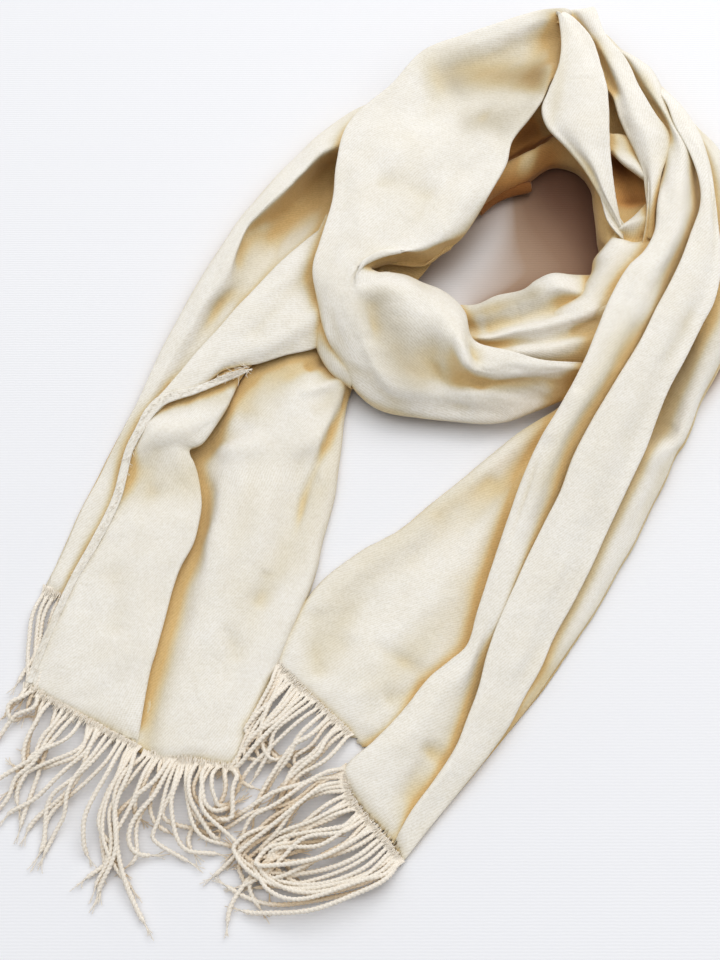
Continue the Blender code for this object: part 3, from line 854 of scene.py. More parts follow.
def shadeTable(clothTops, grid):
    # painted shade: the table is darkened where cloth rises to its upper right and again behind it
    near = bpy.data.objects["floor_near"]
    where = placesOf(near)
    tall = clothTops - shading["tableStep"]
    shade = np.zeros(len(where))
    for turn in np.radians(shading["tableWays"]):
        ahead = horizonOf(where, turn, shading["tableAhead"], tall, grid)
        behind = horizonOf(where, turn + math.pi, shading["tableBehind"], tall, grid)
        gate = np.clip((behind - 0.10) / 0.12, 0, 1)
        shade += np.clip(ahead * table["gather"], 0, 1.2) * gate / len(shading["tableWays"])
    # the loop arches over the table here, so light comes in under it and less shade is painted
    arch = (heightMap([shells["drape"]], grid) > 1).astype(float)
    nearArch = np.clip(spreadOut(arch, table["archReach"]) * 2.5, 0, 1)
    shade *= 1 - table["archLight"] * nearArch[cellsOf(where, grid)]
    side = int(round(math.sqrt(len(where))))
    markVertices(near, "paintedShade", smoothed(shade.reshape(side, side), 12).ravel())


looks = {"twill": twillLook(), "strands": strandLook()}
shells, fringes = {}, {}
creaseShades, deepest = {}, {}     # of each shell: the shade that its creases paint, and how dark its painted shade may go
frays = []
setStudio()

# The back of the left tail, under the loop and out along the left side.
leftTailBack = {
    "replaces": ["left_tail_back"],
    "mesh": (190, 70),
    "sides": ("layered", "open"),
    "waves": 0.7,
    "seed": 3,
    "hem": True,
    "rows": {
        "outer edge": [
            (3, 286, 14), (-39, 265, 12), (-60, 245, 12), (-76, 224, 12), (-92, 205, 12),
            (-108, 182, 11), (-119, 166, 11), (-132, 141, 11), (-144, 118, 10), (-154, 96, 10),
            (-164, 72, 9), (-173, 51, 8), (-181, 28, 7), (-188, 7, 7), (-204, -32, 5), (-213, -56, 4),
            (-222, -79, 4), (-233, -113, 3), (-243, -141, 2.5)],
        "outer crown": [
            (1, 264, 30), (-39, 244, 28), (-59, 224, 28), (-74, 204, 27), (-89, 186, 26),
            (-105, 164, 25), (-115, 153, 22), (-127, 129, 22), (-138, 108, 20), (-148, 88, 18),
            (-157, 65, 16), (-166, 44, 14), (-176, 22, 12), (-184, 2, 10), (-200, -36, 7.5),
            (-209, -59, 6), (-218, -82, 5.5), (-229, -116, 4.5), (-239, -144, 4)],
        "lip": [
            (0, 252, 34), (-38, 220, 32), (-55, 214, 32), (-69, 198, 31), (-84, 179, 30),
            (-100, 162, 29), (-111, 150, 26), (-119, 127, 26), (-126, 104, 23), (-142, 82, 20),
            (-152, 60, 18), (-163, 41, 15), (-173, 19, 13), (-181, -1, 11), (-195, -39, 8),
            (-204, -63, 7), (-213, -86, 6), (-224, -119, 5), (-235, -146, 4.5)],
        "turned under": [
            (0, 254, 29), (-37, 222, 27), (-54, 215, 27), (-69, 199, 26), (-84, 180, 25),
            (-99, 163, 24), (-111, 151, 21), (-119, 128, 21), (-124, 103, 20.5), (-140, 81, 17.5),
            (-150, 59, 16.5), (-161, 40, 14), (-171, 18, 12), (-179, -3, 10.5), (-194, -41, 8),
            (-202, -64, 7), (-211, -88, 6.5), (-222, -120, 4.5), (-233, -147, 4)],
        "valley": [
            (2, 254, 16), (-34, 227, 9), (-50, 222, 8), (-65, 203, 8), (-78, 184, 8), (-95, 166, 8),
            (-103, 148, 11), (-112, 124, 15), (-119, 103, 15.5), (-137, 81, 12), (-147, 57, 13),
            (-158, 37, 11.5), (-167, 14, 10), (-177, -5, 9), (-189, -44, 8.5), (-198, -67, 7.5),
            (-206, -91, 7), (-217, -123, 4), (-228, -150, 3.5)],
        "under the front": [
            (19, 186, 22), (-8, 151, 24), (-33, 137, 24), (-50, 126, 24), (-63, 118, 23),
            (-75, 106, 22), (-87, 96, 22), (-97, 85, 21), (-108, 72, 20), (-118, 60, 19),
            (-131, 45, 17), (-143, 25, 16), (-157, 3, 14), (-163, -17, 12), (-173, -52, 8),
            (-182, -75, 7), (-191, -98, 6), (-203, -131, 5), (-215, -157, 4)],
    },
    "creases": [
        ("shade", 7, -0.6, [(-117, 92), (-129, 73), (-142, 52), (-155, 31), (-166, 12)]),
        ("trough", 3, 2, [(-116, 89), (-132, 53), (-145, 26)]),
    ],
}
layCloth("leftTailBack", leftTailBack)

# The side of the left tail, with a deep valley along the front flap.
leftTailSide = {
    "replaces": ["left_tail_side"],
    "mesh": (180, 100),
    "sides": ("straight", "folded"),
    "waves": 0.8,
    "seed": 7,
    "hem": True,
    "rows": {
        "valley": [
            (-99, 49, 8), (-120, 12, 6), (-127, -5, 5), (-143, -24, 2.5), (-155, -40, 2.5),
            (-146, -62, 2.5), (-144, -85, 2.5), (-148, -105, 2.5), (-155, -125, 2.5),
            (-161, -142, 2.5), (-165, -166, 2.5), (-169, -188, 2.5), (-175, -212, 2.5),
            (-176, -238, 2.5), (-178, -256, 2.5)],
        "ridge": [
            (-86, 46, 13), (-104, 11, 12), (-113, -17, 11), (-132, -31, 2.5), (-139, -44, 2.5),
            (-135, -65, 2.5), (-135, -87, 2.5), (-139, -107, 2.5), (-143, -127, 2.5),
            (-149, -144, 2.5), (-152, -168, 2.5), (-157, -190, 2.5), (-163, -218, 2.5),
            (-166, -241, 2.5), (-168, -261, 2.5)],
        "crown": [
            (-73, 47, 14), (-86, 10, 15), (-97, -21, 14), (-123, -36, 11.5), (-121, -49, 11.5),
            (-124, -70, 11.5), (-127, -93, 11.5), (-131, -113, 11.5), (-133, -133, 11),
            (-136, -149, 10), (-138, -171, 9.5), (-142, -194, 9), (-151, -221, 8), (-156, -243, 7.5),
            (-161, -264, 6.5)],
        "middle": [
            (-59, 50, 12), (-70, 11, 17), (-76, -18, 16), (-82, -36, 15), (-86, -49, 14),
            (-89, -71, 14), (-94, -94, 13), (-99, -115, 12.5), (-105, -135, 12), (-111, -154, 11),
            (-116, -174, 10.5), (-123, -195, 8.5), (-126, -222, 8.5), (-129, -243, 7.5),
            (-134, -265, 6.5)],
        "soft trough": [
            (-46, 55, 10), (-49, 13, 14), (-49, -10, 12), (-53, -31, 12), (-59, -46, 9), (-64, -66, 7),
            (-70, -87, 7), (-76, -110, 7), (-83, -134, 7), (-93, -152, 6.5), (-100, -174, 7),
            (-109, -196, 6.5), (-111, -220, 6.5), (-115, -242, 6), (-122, -268, 5.5)],
        "right crown": [
            (-31, 53, 13), (-39, 15, 14), (-44, -6, 9), (-49, -29, 8), (-53, -47, 9), (-55, -68, 9),
            (-59, -89, 9), (-64, -111, 9), (-69, -132, 8.5), (-77, -150, 8.5), (-86, -173, 8.5),
            (-94, -193, 8), (-99, -216, 7), (-106, -241, 6.5), (-114, -269, 5.5)],
        "right edge": [
            (-18, 59, 9), (-34, 16, 8), (-39, -9, 6), (-41, -32, 5), (-43, -48, 5), (-45, -68, 5),
            (-49, -87, 5), (-54, -108, 5), (-57, -126, 5), (-62, -144, 4.5), (-71, -167, 4.5),
            (-78, -186, 4.5), (-88, -211, 4.5), (-98, -240, 4), (-108, -269, 4)],
    },
    "creases": [
        ("trough", 2.6, 4.0, [(-28, 28), (-33, 17), (-42, -5), (-51, -29), (-58, -48), (-64, -63),
             (-69, -84), (-73, -109)]),
        ("shade", 11, 0.24, [(-34, 10), (-41, -19), (-48, -47), (-56, -72), (-63, -96), (-68, -119),
             (-78, -145)]),
        ("shade", 9, 0.55, [(-141, -105), (-148, -136), (-155, -165), (-159, -195), (-163, -223),
             (-166, -254), (-167, -285)]),
        ("shade", 13, 0.6, [(-52, 45), (-71, 35), (-88, 20), (-102, 3), (-113, -17)]),
        ("shade", 5, 0.35, [(-34, 45), (-52, 35), (-71, 26), (-85, 16)]),
        ("shade", 6, 0.25, [(-34, 17), (-43, 7), (-54, -3), (-64, -10)]),
        ("shade", 12, 0.14, [(-57, -52), (-66, -76), (-74, -99), (-82, -122), (-91, -145)]),
        ("shade", 12, 0.16, [(-85, -122), (-93, -140), (-103, -158), (-113, -182)]),
        ("shade", 9, 0.12, [(-97, -27), (-104, -76), (-111, -122), (-119, -167)]),
        ("ridge", 4, 3.0, [(-72, 5), (-53, 13), (-36, 21)]),
        ("trough", 4, 4.0, [(-68, 28), (-56, 36), (-43, 38)]),
        ("fold", 2.2, 2.5, [(-36, 16), (-43, -5), (-51, -29), (-58, -48), (-64, -63), (-68, -78)]),
        ("trough", 6, 2.0, [(-92, -129), (-92, -145), (-98, -159)]),
        ("trough", 6, 1.8, [(-122, -171), (-113, -183), (-109, -198)]),
        ("ridge", 7, 1.5, [(-91, -54), (-95, -93), (-104, -129)]),
    ],
}
layCloth("leftTailSide", leftTailSide)

# The front flap of the left tail.
leftTailFront = {
    "replaces": ["left_tail_front"],
    "mesh": (170, 72),
    "sides": ("open", "hang"),
    "waves": 0.9,
    "seed": 11,
    "hem": True,
    "rows": {
        "left edge": [
            (-164, 20, 14), (-169, 3, 14.5), (-178, -10, 16), (-183, -23, 16), (-187, -32, 14.5),
            (-190, -43, 14), (-192, -53, 11.5), (-195, -69, 10.5), (-200, -80, 10), (-205, -95, 9.5),
            (-211, -109, 9), (-218, -125, 8), (-225, -143, 7), (-234, -165, 6.5), (-240, -184, 5.5),
            (-246, -203, 4.5), (-249, -212, 4)],
        "left crown": [
            (-155, 22, 15), (-163, 4, 15.5), (-172, -11, 18), (-177, -25, 21), (-181, -33, 19),
            (-184, -43, 14.5), (-186, -53, 10.5), (-190, -68, 9.5), (-193, -81, 10.5), (-198, -97, 11),
            (-204, -111, 10), (-211, -128, 9.5), (-218, -147, 8.5), (-226, -169, 8), (-232, -189, 7),
            (-239, -207, 5.5), (-242, -218, 5)],
        "middle": [
            (-135, 29, 16), (-144, 10, 16.5), (-156, -8, 18.5), (-162, -26, 22.5), (-165, -33, 21),
            (-172, -41, 14.5), (-173, -51, 10.5), (-175, -68, 9.5), (-176, -82, 10.5), (-179, -97, 12),
            (-182, -112, 11.5), (-186, -130, 11), (-193, -151, 10), (-199, -175, 9), (-204, -198, 8),
            (-209, -222, 6.5), (-211, -235, 5.5)],
        "right crown": [
            (-112, 33, 17), (-120, 17, 17), (-126, -1, 19), (-136, -21, 20.5), (-146, -31, 20.5),
            (-154, -40, 17), (-151, -52, 14), (-147, -66, 12.5), (-145, -81, 12.5), (-146, -95, 12.5),
            (-149, -111, 11.5), (-156, -129, 11), (-162, -146, 10), (-166, -167, 9.5),
            (-170, -191, 8.5), (-175, -217, 6.5), (-180, -253, 5.5)],
        "wavy edge": [
            (-103, 37, 14), (-113, 22, 14), (-119, 5, 15.5), (-127, -14, 16), (-137, -32, 16),
            (-148, -39, 14), (-144, -49, 11), (-140, -64, 10), (-138, -79, 10), (-139, -93, 10),
            (-142, -109, 9.5), (-150, -127, 9), (-155, -144, 8), (-159, -165, 7.5), (-164, -189, 6.5),
            (-169, -216, 5.5), (-173, -256, 4.5)],
    },
    "creases": [
        ("shade", 19, 0.42, [(-207, -56), (-185, -59), (-161, -62), (-137, -59), (-119, -54)]),
        ("shade", 9, 0.3, [(-156, 1), (-135, 2), (-119, 9)]),
        ("ridge", 4.5, 1.4, [(-178, -31), (-163, -28), (-146, -29)]),
        ("trough", 8, 1.6, [(-184, -67), (-164, -71), (-146, -62)]),
        ("trough", 9, 1.2, [(-201, -123), (-189, -153), (-194, -183)]),
        ("ridge", 8, 1.0, [(-166, -108), (-177, -153), (-188, -211)]),
    ],
}
layCloth("leftTailFront", leftTailFront)

# The shoulder of the left tail, which ends in a frayed selvage.
shoulder = {
    "replaces": ["left_tail_shoulder"],
    "mesh": (120, 60),
    "sides": ("open", "open"),
    "waves": 0.8,
    "seed": 15,
    "rows": {
        "upper edge": [
            (-35, 170, 24), (-51, 154, 24), (-75, 130, 24), (-97, 105, 23), (-112, 86, 22),
            (-128, 63, 21.5), (-144, 43, 20.5), (-158, 23, 19.5), (-169, 8, 18.5), (-179, -5, 18)],
        "upper crown": [
            (-34, 155, 27), (-50, 140, 27), (-74, 117, 27), (-96, 93, 25.5), (-110, 77, 24.5),
            (-126, 56, 23.5), (-141, 37, 22), (-155, 19, 20.5), (-167, 6, 19.5), (-177, -7, 18.5)],
        "middle": [
            (-34, 114, 28), (-51, 102, 28), (-76, 81, 27), (-99, 65, 26), (-110, 54, 25),
            (-125, 42, 24), (-139, 29, 22.5), (-151, 14, 21), (-164, 4, 19.5), (-175, -8, 18.5)],
        "lower crown": [
            (-37, 66, 25), (-56, 57, 25), (-79, 48, 24), (-101, 38, 23), (-112, 33, 22.5),
            (-125, 28, 22), (-136, 20, 21.5), (-148, 10, 20.5), (-162, 2, 19.5), (-173, -9, 18.5)],
        "selvage": [
            (-42, 53, 19), (-59, 44, 19), (-81, 38, 18.5), (-103, 30, 18.5), (-114, 28, 19),
            (-126, 24, 19), (-136, 16, 19), (-147, 8, 19), (-161, 1, 18.5), (-172, -10, 18)],
    },
    "creases": [
        ("trough", 6, 1.6, [(-57, 115), (-85, 81), (-110, 42)]),
        ("ridge", 5, 1.4, [(-49, 76), (-78, 51), (-110, 34)]),
    ],
}
layCloth("shoulder", shoulder)

# The narrow selvage that runs off the shoulder and down the front flap.
leftSelvage = {
    "replaces": [],
    "mesh": (260, 9),
    "sides": ("open", "open"),
    "waves": 0.4,
    "seed": 65,
    "rows": {
        "outer side": [
            (-105, 25, 21), (-120, 22, 21.5), (-136, 14, 21.5), (-147, 9, 21.5), (-161, 6, 21),
            (-172, 2, 20), (-180, -7, 19.5), (-187, -23, 18.5), (-193, -37, 16), (-197, -54, 13),
            (-200, -71, 11.5), (-213, -106, 9.5), (-227, -137, 7.5), (-240, -174, 5.5),
            (-251, -210, 4)],
        "crown": [
            (-105, 24, 21.5), (-120, 19, 22), (-136, 11, 22.5), (-146, 5, 22), (-159, 2, 21.5),
            (-169, -2, 21), (-177, -10, 20.5), (-185, -25, 19.5), (-190, -39, 17), (-194, -56, 14),
            (-197, -72, 12.5), (-210, -108, 10.5), (-225, -139, 8.5), (-238, -175, 6.5),
            (-249, -211, 5)],
        "inner side": [
            (-105, 24, 21), (-119, 16, 22), (-135, 8, 22), (-146, 3, 22), (-158, -1, 21.5),
            (-167, -5, 20.5), (-174, -13, 20), (-182, -28, 19), (-188, -41, 17), (-191, -57, 14),
            (-194, -74, 12.5), (-207, -109, 10.5), (-222, -140, 8.5), (-235, -176, 6.5),
            (-246, -212, 5)],
    },
    "creases": [
        ("shade", 9, -0.4, [(-121, 24), (-147, 11), (-170, 3), (-184, -22), (-193, -55), (-209, -110),
             (-236, -178), (-247, -215)]),
    ],
}
layCloth("leftSelvage", leftSelvage)

# The short roll under the inner band.
bandRoll = {
    "replaces": [],
    "mesh": (60, 26),
    "sides": ("open", "open"),
    "waves": 0.5,
    "seed": 67,
    "shutIn": True,
    "rows": {
        "behind": [(63, 184, 8), (73, 195, 8), (87, 203, 8), (99, 208, 8), (105, 208, 7)],
        "upper edge": [(64, 181, 9.5), (73, 192, 9.5), (88, 201, 9.5), (100, 206, 9.5), (106, 206, 8)],
        "crown": [(66, 174, 10.5), (75, 185, 11.5), (90, 194, 11.5), (102, 198, 11), (107, 200, 9)],
        "lower edge": [(67, 173, 6.5), (77, 183, 6.5), (91, 191, 6.5), (103, 195, 5.5), (107, 197, 5)],
        "under": [(67, 176, 3), (77, 188, 3), (91, 196, 3), (103, 198, 3), (106, 199, 3)],
    },
    "creases": [
        ("shade", 24, 1.3, [(34, 157), (58, 174), (82, 189), (107, 201), (130, 213)]),
    ],
}
layCloth("bandRoll", bandRoll)

# The inside of the loop behind the neck hole, in two soft rolls.
loopInner = {
    "replaces": ["loop_under", "loop_inner"],
    "mesh": (130, 56),
    "sides": ("straight", "straight"),
    "waves": 0.8,
    "seed": 19,
    "shutIn": True,
    "rows": {
        "under the loop": [
            (40, 234, 20), (60, 273, 20), (95, 297, 20), (134, 304, 22), (174, 283, 24),
            (199, 241, 24), (206, 196, 24), (202, 153, 25), (197, 115, 26)],
        "top": [
            (56, 205, 27), (80, 232, 27), (101, 247, 29), (124, 260, 30), (150, 249, 31),
            (170, 223, 27), (178, 181, 25), (177, 149, 26), (177, 120, 27)],
        "crease": [
            (66, 200, 17), (88, 221, 17), (107, 233, 17), (124, 246, 17), (145, 235, 24),
            (160, 213, 27), (163, 178, 28), (163, 145, 28), (166, 123, 28)],
        "crest": [
            (68, 184, 26), (87, 206, 26), (106, 218, 27), (123, 230, 27), (143, 226, 28),
            (157, 207, 28), (158, 174, 28.5), (160, 142, 28), (163, 124, 28)],
        "belly": [
            (67, 178, 21), (84, 196, 21.5), (104, 209, 22), (123, 224, 22), (141, 220, 23),
            (153, 203, 23), (154, 173, 23), (156, 142, 23), (160, 128, 24)],
        "low": [
            (64, 175, 11), (82, 190, 11), (103, 203, 11), (124, 219, 11), (141, 216, 11),
            (151, 201, 11), (153, 173, 12), (155, 144, 13), (159, 134, 14)],
    },
    "creases": [
        ("shade", 15, 0.6, [(169, 222), (174, 201), (180, 181), (182, 162)]),
        ("shade", 8, 0.5, [(71, 215), (87, 227), (103, 240), (119, 252)]),
        ("shade", 2.6, 0.9, [(78, 211), (89, 219), (106, 229), (124, 241), (135, 246)]),
        ("shade", 12, 0.28, [(57, 168), (69, 179), (85, 195), (104, 208), (123, 221), (139, 219)]),
        ("shade", 7, 0.45, [(68, 170), (83, 184), (101, 195), (121, 207), (140, 207)]),
        ("trough", 1.6, 5, [(84, 212), (104, 224), (126, 238)]),
        ("ridge", 1.5, 2.5, [(71, 176), (87, 188), (104, 192)]),
        ("trough", 1.3, 3, [(68, 174), (85, 184), (102, 188)]),
    ],
}
layCloth("loopInner", loopInner)

# The loop in front of the neck hole, in three rolls.
loopBottom = {
    "replaces": ["loop_bottom"],
    "mesh": (100, 100),
    "sides": ("straight", "straight"),
    "waves": 0.8,
    "seed": 23,
    "rows": {
        "hole edge": [
            (40, 83, 16), (58, 83, 16), (74, 90, 17), (94, 95, 17), (104, 103, 18), (118, 108, 20),
            (133, 110, 16), (154, 114, 10)],
        "first roll": [
            (44, 67, 24), (61, 66, 26), (77, 72, 28), (95, 77, 29), (108, 83, 32), (123, 86, 35),
            (138, 93, 26), (162, 101, 15)],
        "first crease": [
            (48, 57, 20), (64, 58, 20), (80, 64, 21), (99, 70, 22), (115, 75, 23), (132, 83, 24),
            (145, 84, 24), (171, 92, 18)],
        "second roll": [
            (52, 49, 24), (68, 48, 26), (85, 52, 28), (103, 54, 30), (119, 57, 32), (136, 63, 34),
            (149, 67, 36), (178, 75, 36)],
        "second crease": [
            (56, 46, 19), (73, 46, 19), (90, 48, 20), (108, 47, 23), (125, 51, 24), (141, 54, 26),
            (155, 59, 29), (186, 72, 30)],
        "third roll": [
            (59, 36, 23), (75, 36, 24), (91, 36, 26), (110, 38, 28), (127, 41, 30), (143, 44, 32),
            (159, 49, 34), (188, 60, 34)],
        "front edge": [
            (62, 30, 14), (78, 30, 14), (96, 29, 14), (114, 27, 15), (132, 29, 16), (149, 33, 17),
            (165, 40, 18), (196, 54, 20)],
    },
    "creases": [
        ("shade", 8, 0.62, [(36, 57), (51, 64), (66, 71), (82, 78), (98, 83), (112, 89)]),
        ("paintedDim", 9, 0.3, [(31, 55), (51, 64), (66, 71), (82, 78), (98, 83), (112, 89)]),
        ("shade", 9, -0.5, [(75, 43), (97, 47), (119, 54), (143, 66), (167, 80)]),
        ("shade", 9, -0.7, [(36, 49), (51, 57), (68, 61)]),
        ("trough", 7, 1.6, [(68, 70), (79, 72), (92, 76)]),
        ("trough", 1.6, 2.0, [(125, 52), (137, 57), (149, 62)]),
    ],
}
layCloth("loopBottom", loopBottom)

# The lower layer of the right tail.
rightTailLower = {
    "replaces": ["right_tail_lower"],
    "mesh": (180, 80),
    "sides": ("folded", "open"),
    "waves": 0.8,
    "seed": 27,
    "hem": True,
    "rows": {
        "left edge": [
            (131, 9, 14), (114, -4, 12), (89, -20, 9), (66, -39, 7), (44, -59, 6), (22, -78, 5),
            (1, -97, 4.5), (-27, -114, 4), (-55, -139, 4), (-74, -167, 3.5), (-84, -193, 3),
            (-83, -195, 3)],
        "left crown": [
            (132, 2, 18), (115, -11, 16), (92, -27, 13), (69, -46, 10.5), (47, -65, 9), (26, -84, 8),
            (4, -104, 7.5), (-22, -122, 7), (-49, -146, 6.5), (-68, -172, 6), (-78, -196, 4.5),
            (-74, -206, 4)],
        "soft trough": [
            (135, -2, 17), (118, -18, 15), (100, -39, 9.5), (79, -56, 7), (60, -74, 5.5),
            (40, -93, 4.5), (19, -112, 4), (-2, -132, 3.5), (-28, -156, 3), (-46, -180, 2.5),
            (-59, -205, 4.5), (-60, -220, 4)],
        "crown": [
            (138, -9, 20), (121, -28, 18), (100, -49, 16), (85, -71, 14), (72, -91, 13),
            (56, -109, 12), (40, -129, 11.5), (22, -152, 11), (3, -179, 10), (-16, -198, 9),
            (-30, -224, 6.5), (-46, -235, 5)],
        "slope": [
            (140, -15, 18), (124, -35, 16), (104, -57, 13), (91, -79, 11), (80, -100, 10),
            (68, -120, 9), (55, -144, 8.5), (41, -167, 8), (24, -192, 7), (5, -210, 6.5),
            (-10, -239, 6), (-34, -246, 5)],
        "under the front": [
            (145, -21, 14), (127, -42, 12), (109, -65, 9), (98, -87, 7), (88, -107, 6), (78, -128, 5),
            (69, -155, 4.5), (60, -180, 4.5), (41, -202, 4), (24, -220, 4), (6, -247, 4),
            (-19, -259, 3.5)],
    },
    "creases": [
        ("shade", 15, 0.36, [(87, -43), (58, -62), (16, -91), (-23, -126), (-50, -178), (-57, -218)]),
        ("shade", 12, 0.32, [(53, -122), (30, -167), (0, -202), (-32, -233)]),
        ("shade", 10, 0.12, [(89, -53), (71, -92), (57, -123), (38, -161)]),
        ("trough", 8, 2.6, [(20, -94), (47, -74), (74, -53)]),
        ("trough", 7, 2.0, [(-56, -154), (-59, -182), (-52, -212)]),
        ("trough", 6, 2.2, [(-22, -182), (1, -196), (22, -209)]),
        ("trough", 6, 2.2, [(20, -210), (4, -220), (-14, -225)]),
        ("ridge", 10, 2.0, [(-36, -187), (-15, -149), (17, -120)]),
        ("ridge", 6, 1.4, [(-40, -225), (-19, -218), (1, -208)]),
    ],
}
layCloth("rightTailLower", rightTailLower)

# The outer fold of the right side, down to the fringe.
rightOuter = {
    "replaces": ["right_fold_outer", "right_tail_outer"],
    "mesh": (260, 48),
    "sides": ("open", "layered"),
    "waves": 0.7,
    "seed": 31,
    "back": 6,
    "rows": {
        "under the fold": [
            (169, 336, 12), (197, 291, 22), (215, 256, 30), (228, 235, 34), (235, 214, 35),
            (238, 196, 36), (239, 162, 36), (238, 135, 35), (236, 115, 34), (232, 96, 33),
            (226, 78, 31), (216, 61, 28), (205, 42, 13), (192, 17, 9), (183, -7, 8), (178, -20, 8),
            (171, -36, 20), (160, -59, 21), (149, -83, 18.5), (139, -102, 16), (127, -129, 14),
            (114, -153, 12), (100, -178, 11), (89, -200, 9.5), (78, -219, 8.5), (66, -239, 7),
            (53, -257, 5), (35, -279, 4.5), (17, -303, 4)],
        "crest": [
            (168, 340, 13), (194, 295, 24), (214, 260, 32), (228, 239, 36), (237, 219, 37),
            (243, 203, 37), (248, 165, 36), (249, 138, 35), (248, 117, 34), (244, 94, 33),
            (238, 73, 31), (227, 52, 29), (219, 30, 23), (207, 7, 17), (201, -14, 13), (196, -26, 12),
            (186, -40, 20.5), (172, -64, 20), (161, -88, 17.5), (150, -108, 15), (137, -132, 13),
            (124, -157, 11.5), (108, -181, 10), (96, -201, 8.5), (86, -219, 8), (72, -239, 7),
            (57, -258, 5.5), (38, -280, 5), (19, -305, 4.5)],
        "outer crown": [
            (166, 343, 13), (192, 300, 23), (213, 267, 30), (228, 246, 33), (237, 228, 34),
            (246, 213, 34), (255, 174, 32), (258, 144, 31), (257, 122, 30), (253, 94, 29),
            (246, 72, 27), (236, 48, 25), (226, 26, 21), (215, 3, 17), (205, -18, 14), (200, -30, 13),
            (194, -39, 14), (182, -63, 13), (170, -87, 12), (159, -108, 10.5), (145, -132, 9.5),
            (131, -157, 8.5), (115, -182, 7.5), (101, -201, 6.5), (90, -218, 6), (77, -237, 5),
            (60, -256, 4.5), (40, -280, 4), (20, -306, 4)],
        "outer edge": [
            (165, 349, 10), (192, 312, 14), (215, 281, 18), (230, 262, 20), (240, 245, 20),
            (250, 231, 20), (263, 189, 18), (266, 156, 17), (265, 134, 16), (260, 102, 15),
            (254, 76, 14), (244, 50, 13), (233, 28, 11), (220, 5, 9), (211, -17, 8), (205, -29, 7),
            (200, -36, 7), (188, -61, 6), (175, -85, 5), (164, -107, 5), (150, -130, 4.5),
            (135, -156, 4), (118, -181, 4), (104, -201, 3.5), (93, -217, 3.5), (79, -235, 3.5),
            (62, -255, 3), (42, -279, 3), (20, -306, 3)],
    },
    "creases": [
        ("shade", 15, -0.35, [(228, 61), (216, 27), (206, -3), (182, -48), (160, -88), (136, -132),
             (111, -174), (91, -211)]),
        ("ridge", 3, 1.0, [(205, -57), (173, -112), (135, -164)]),
    ],
}
layCloth("rightOuter", rightOuter)

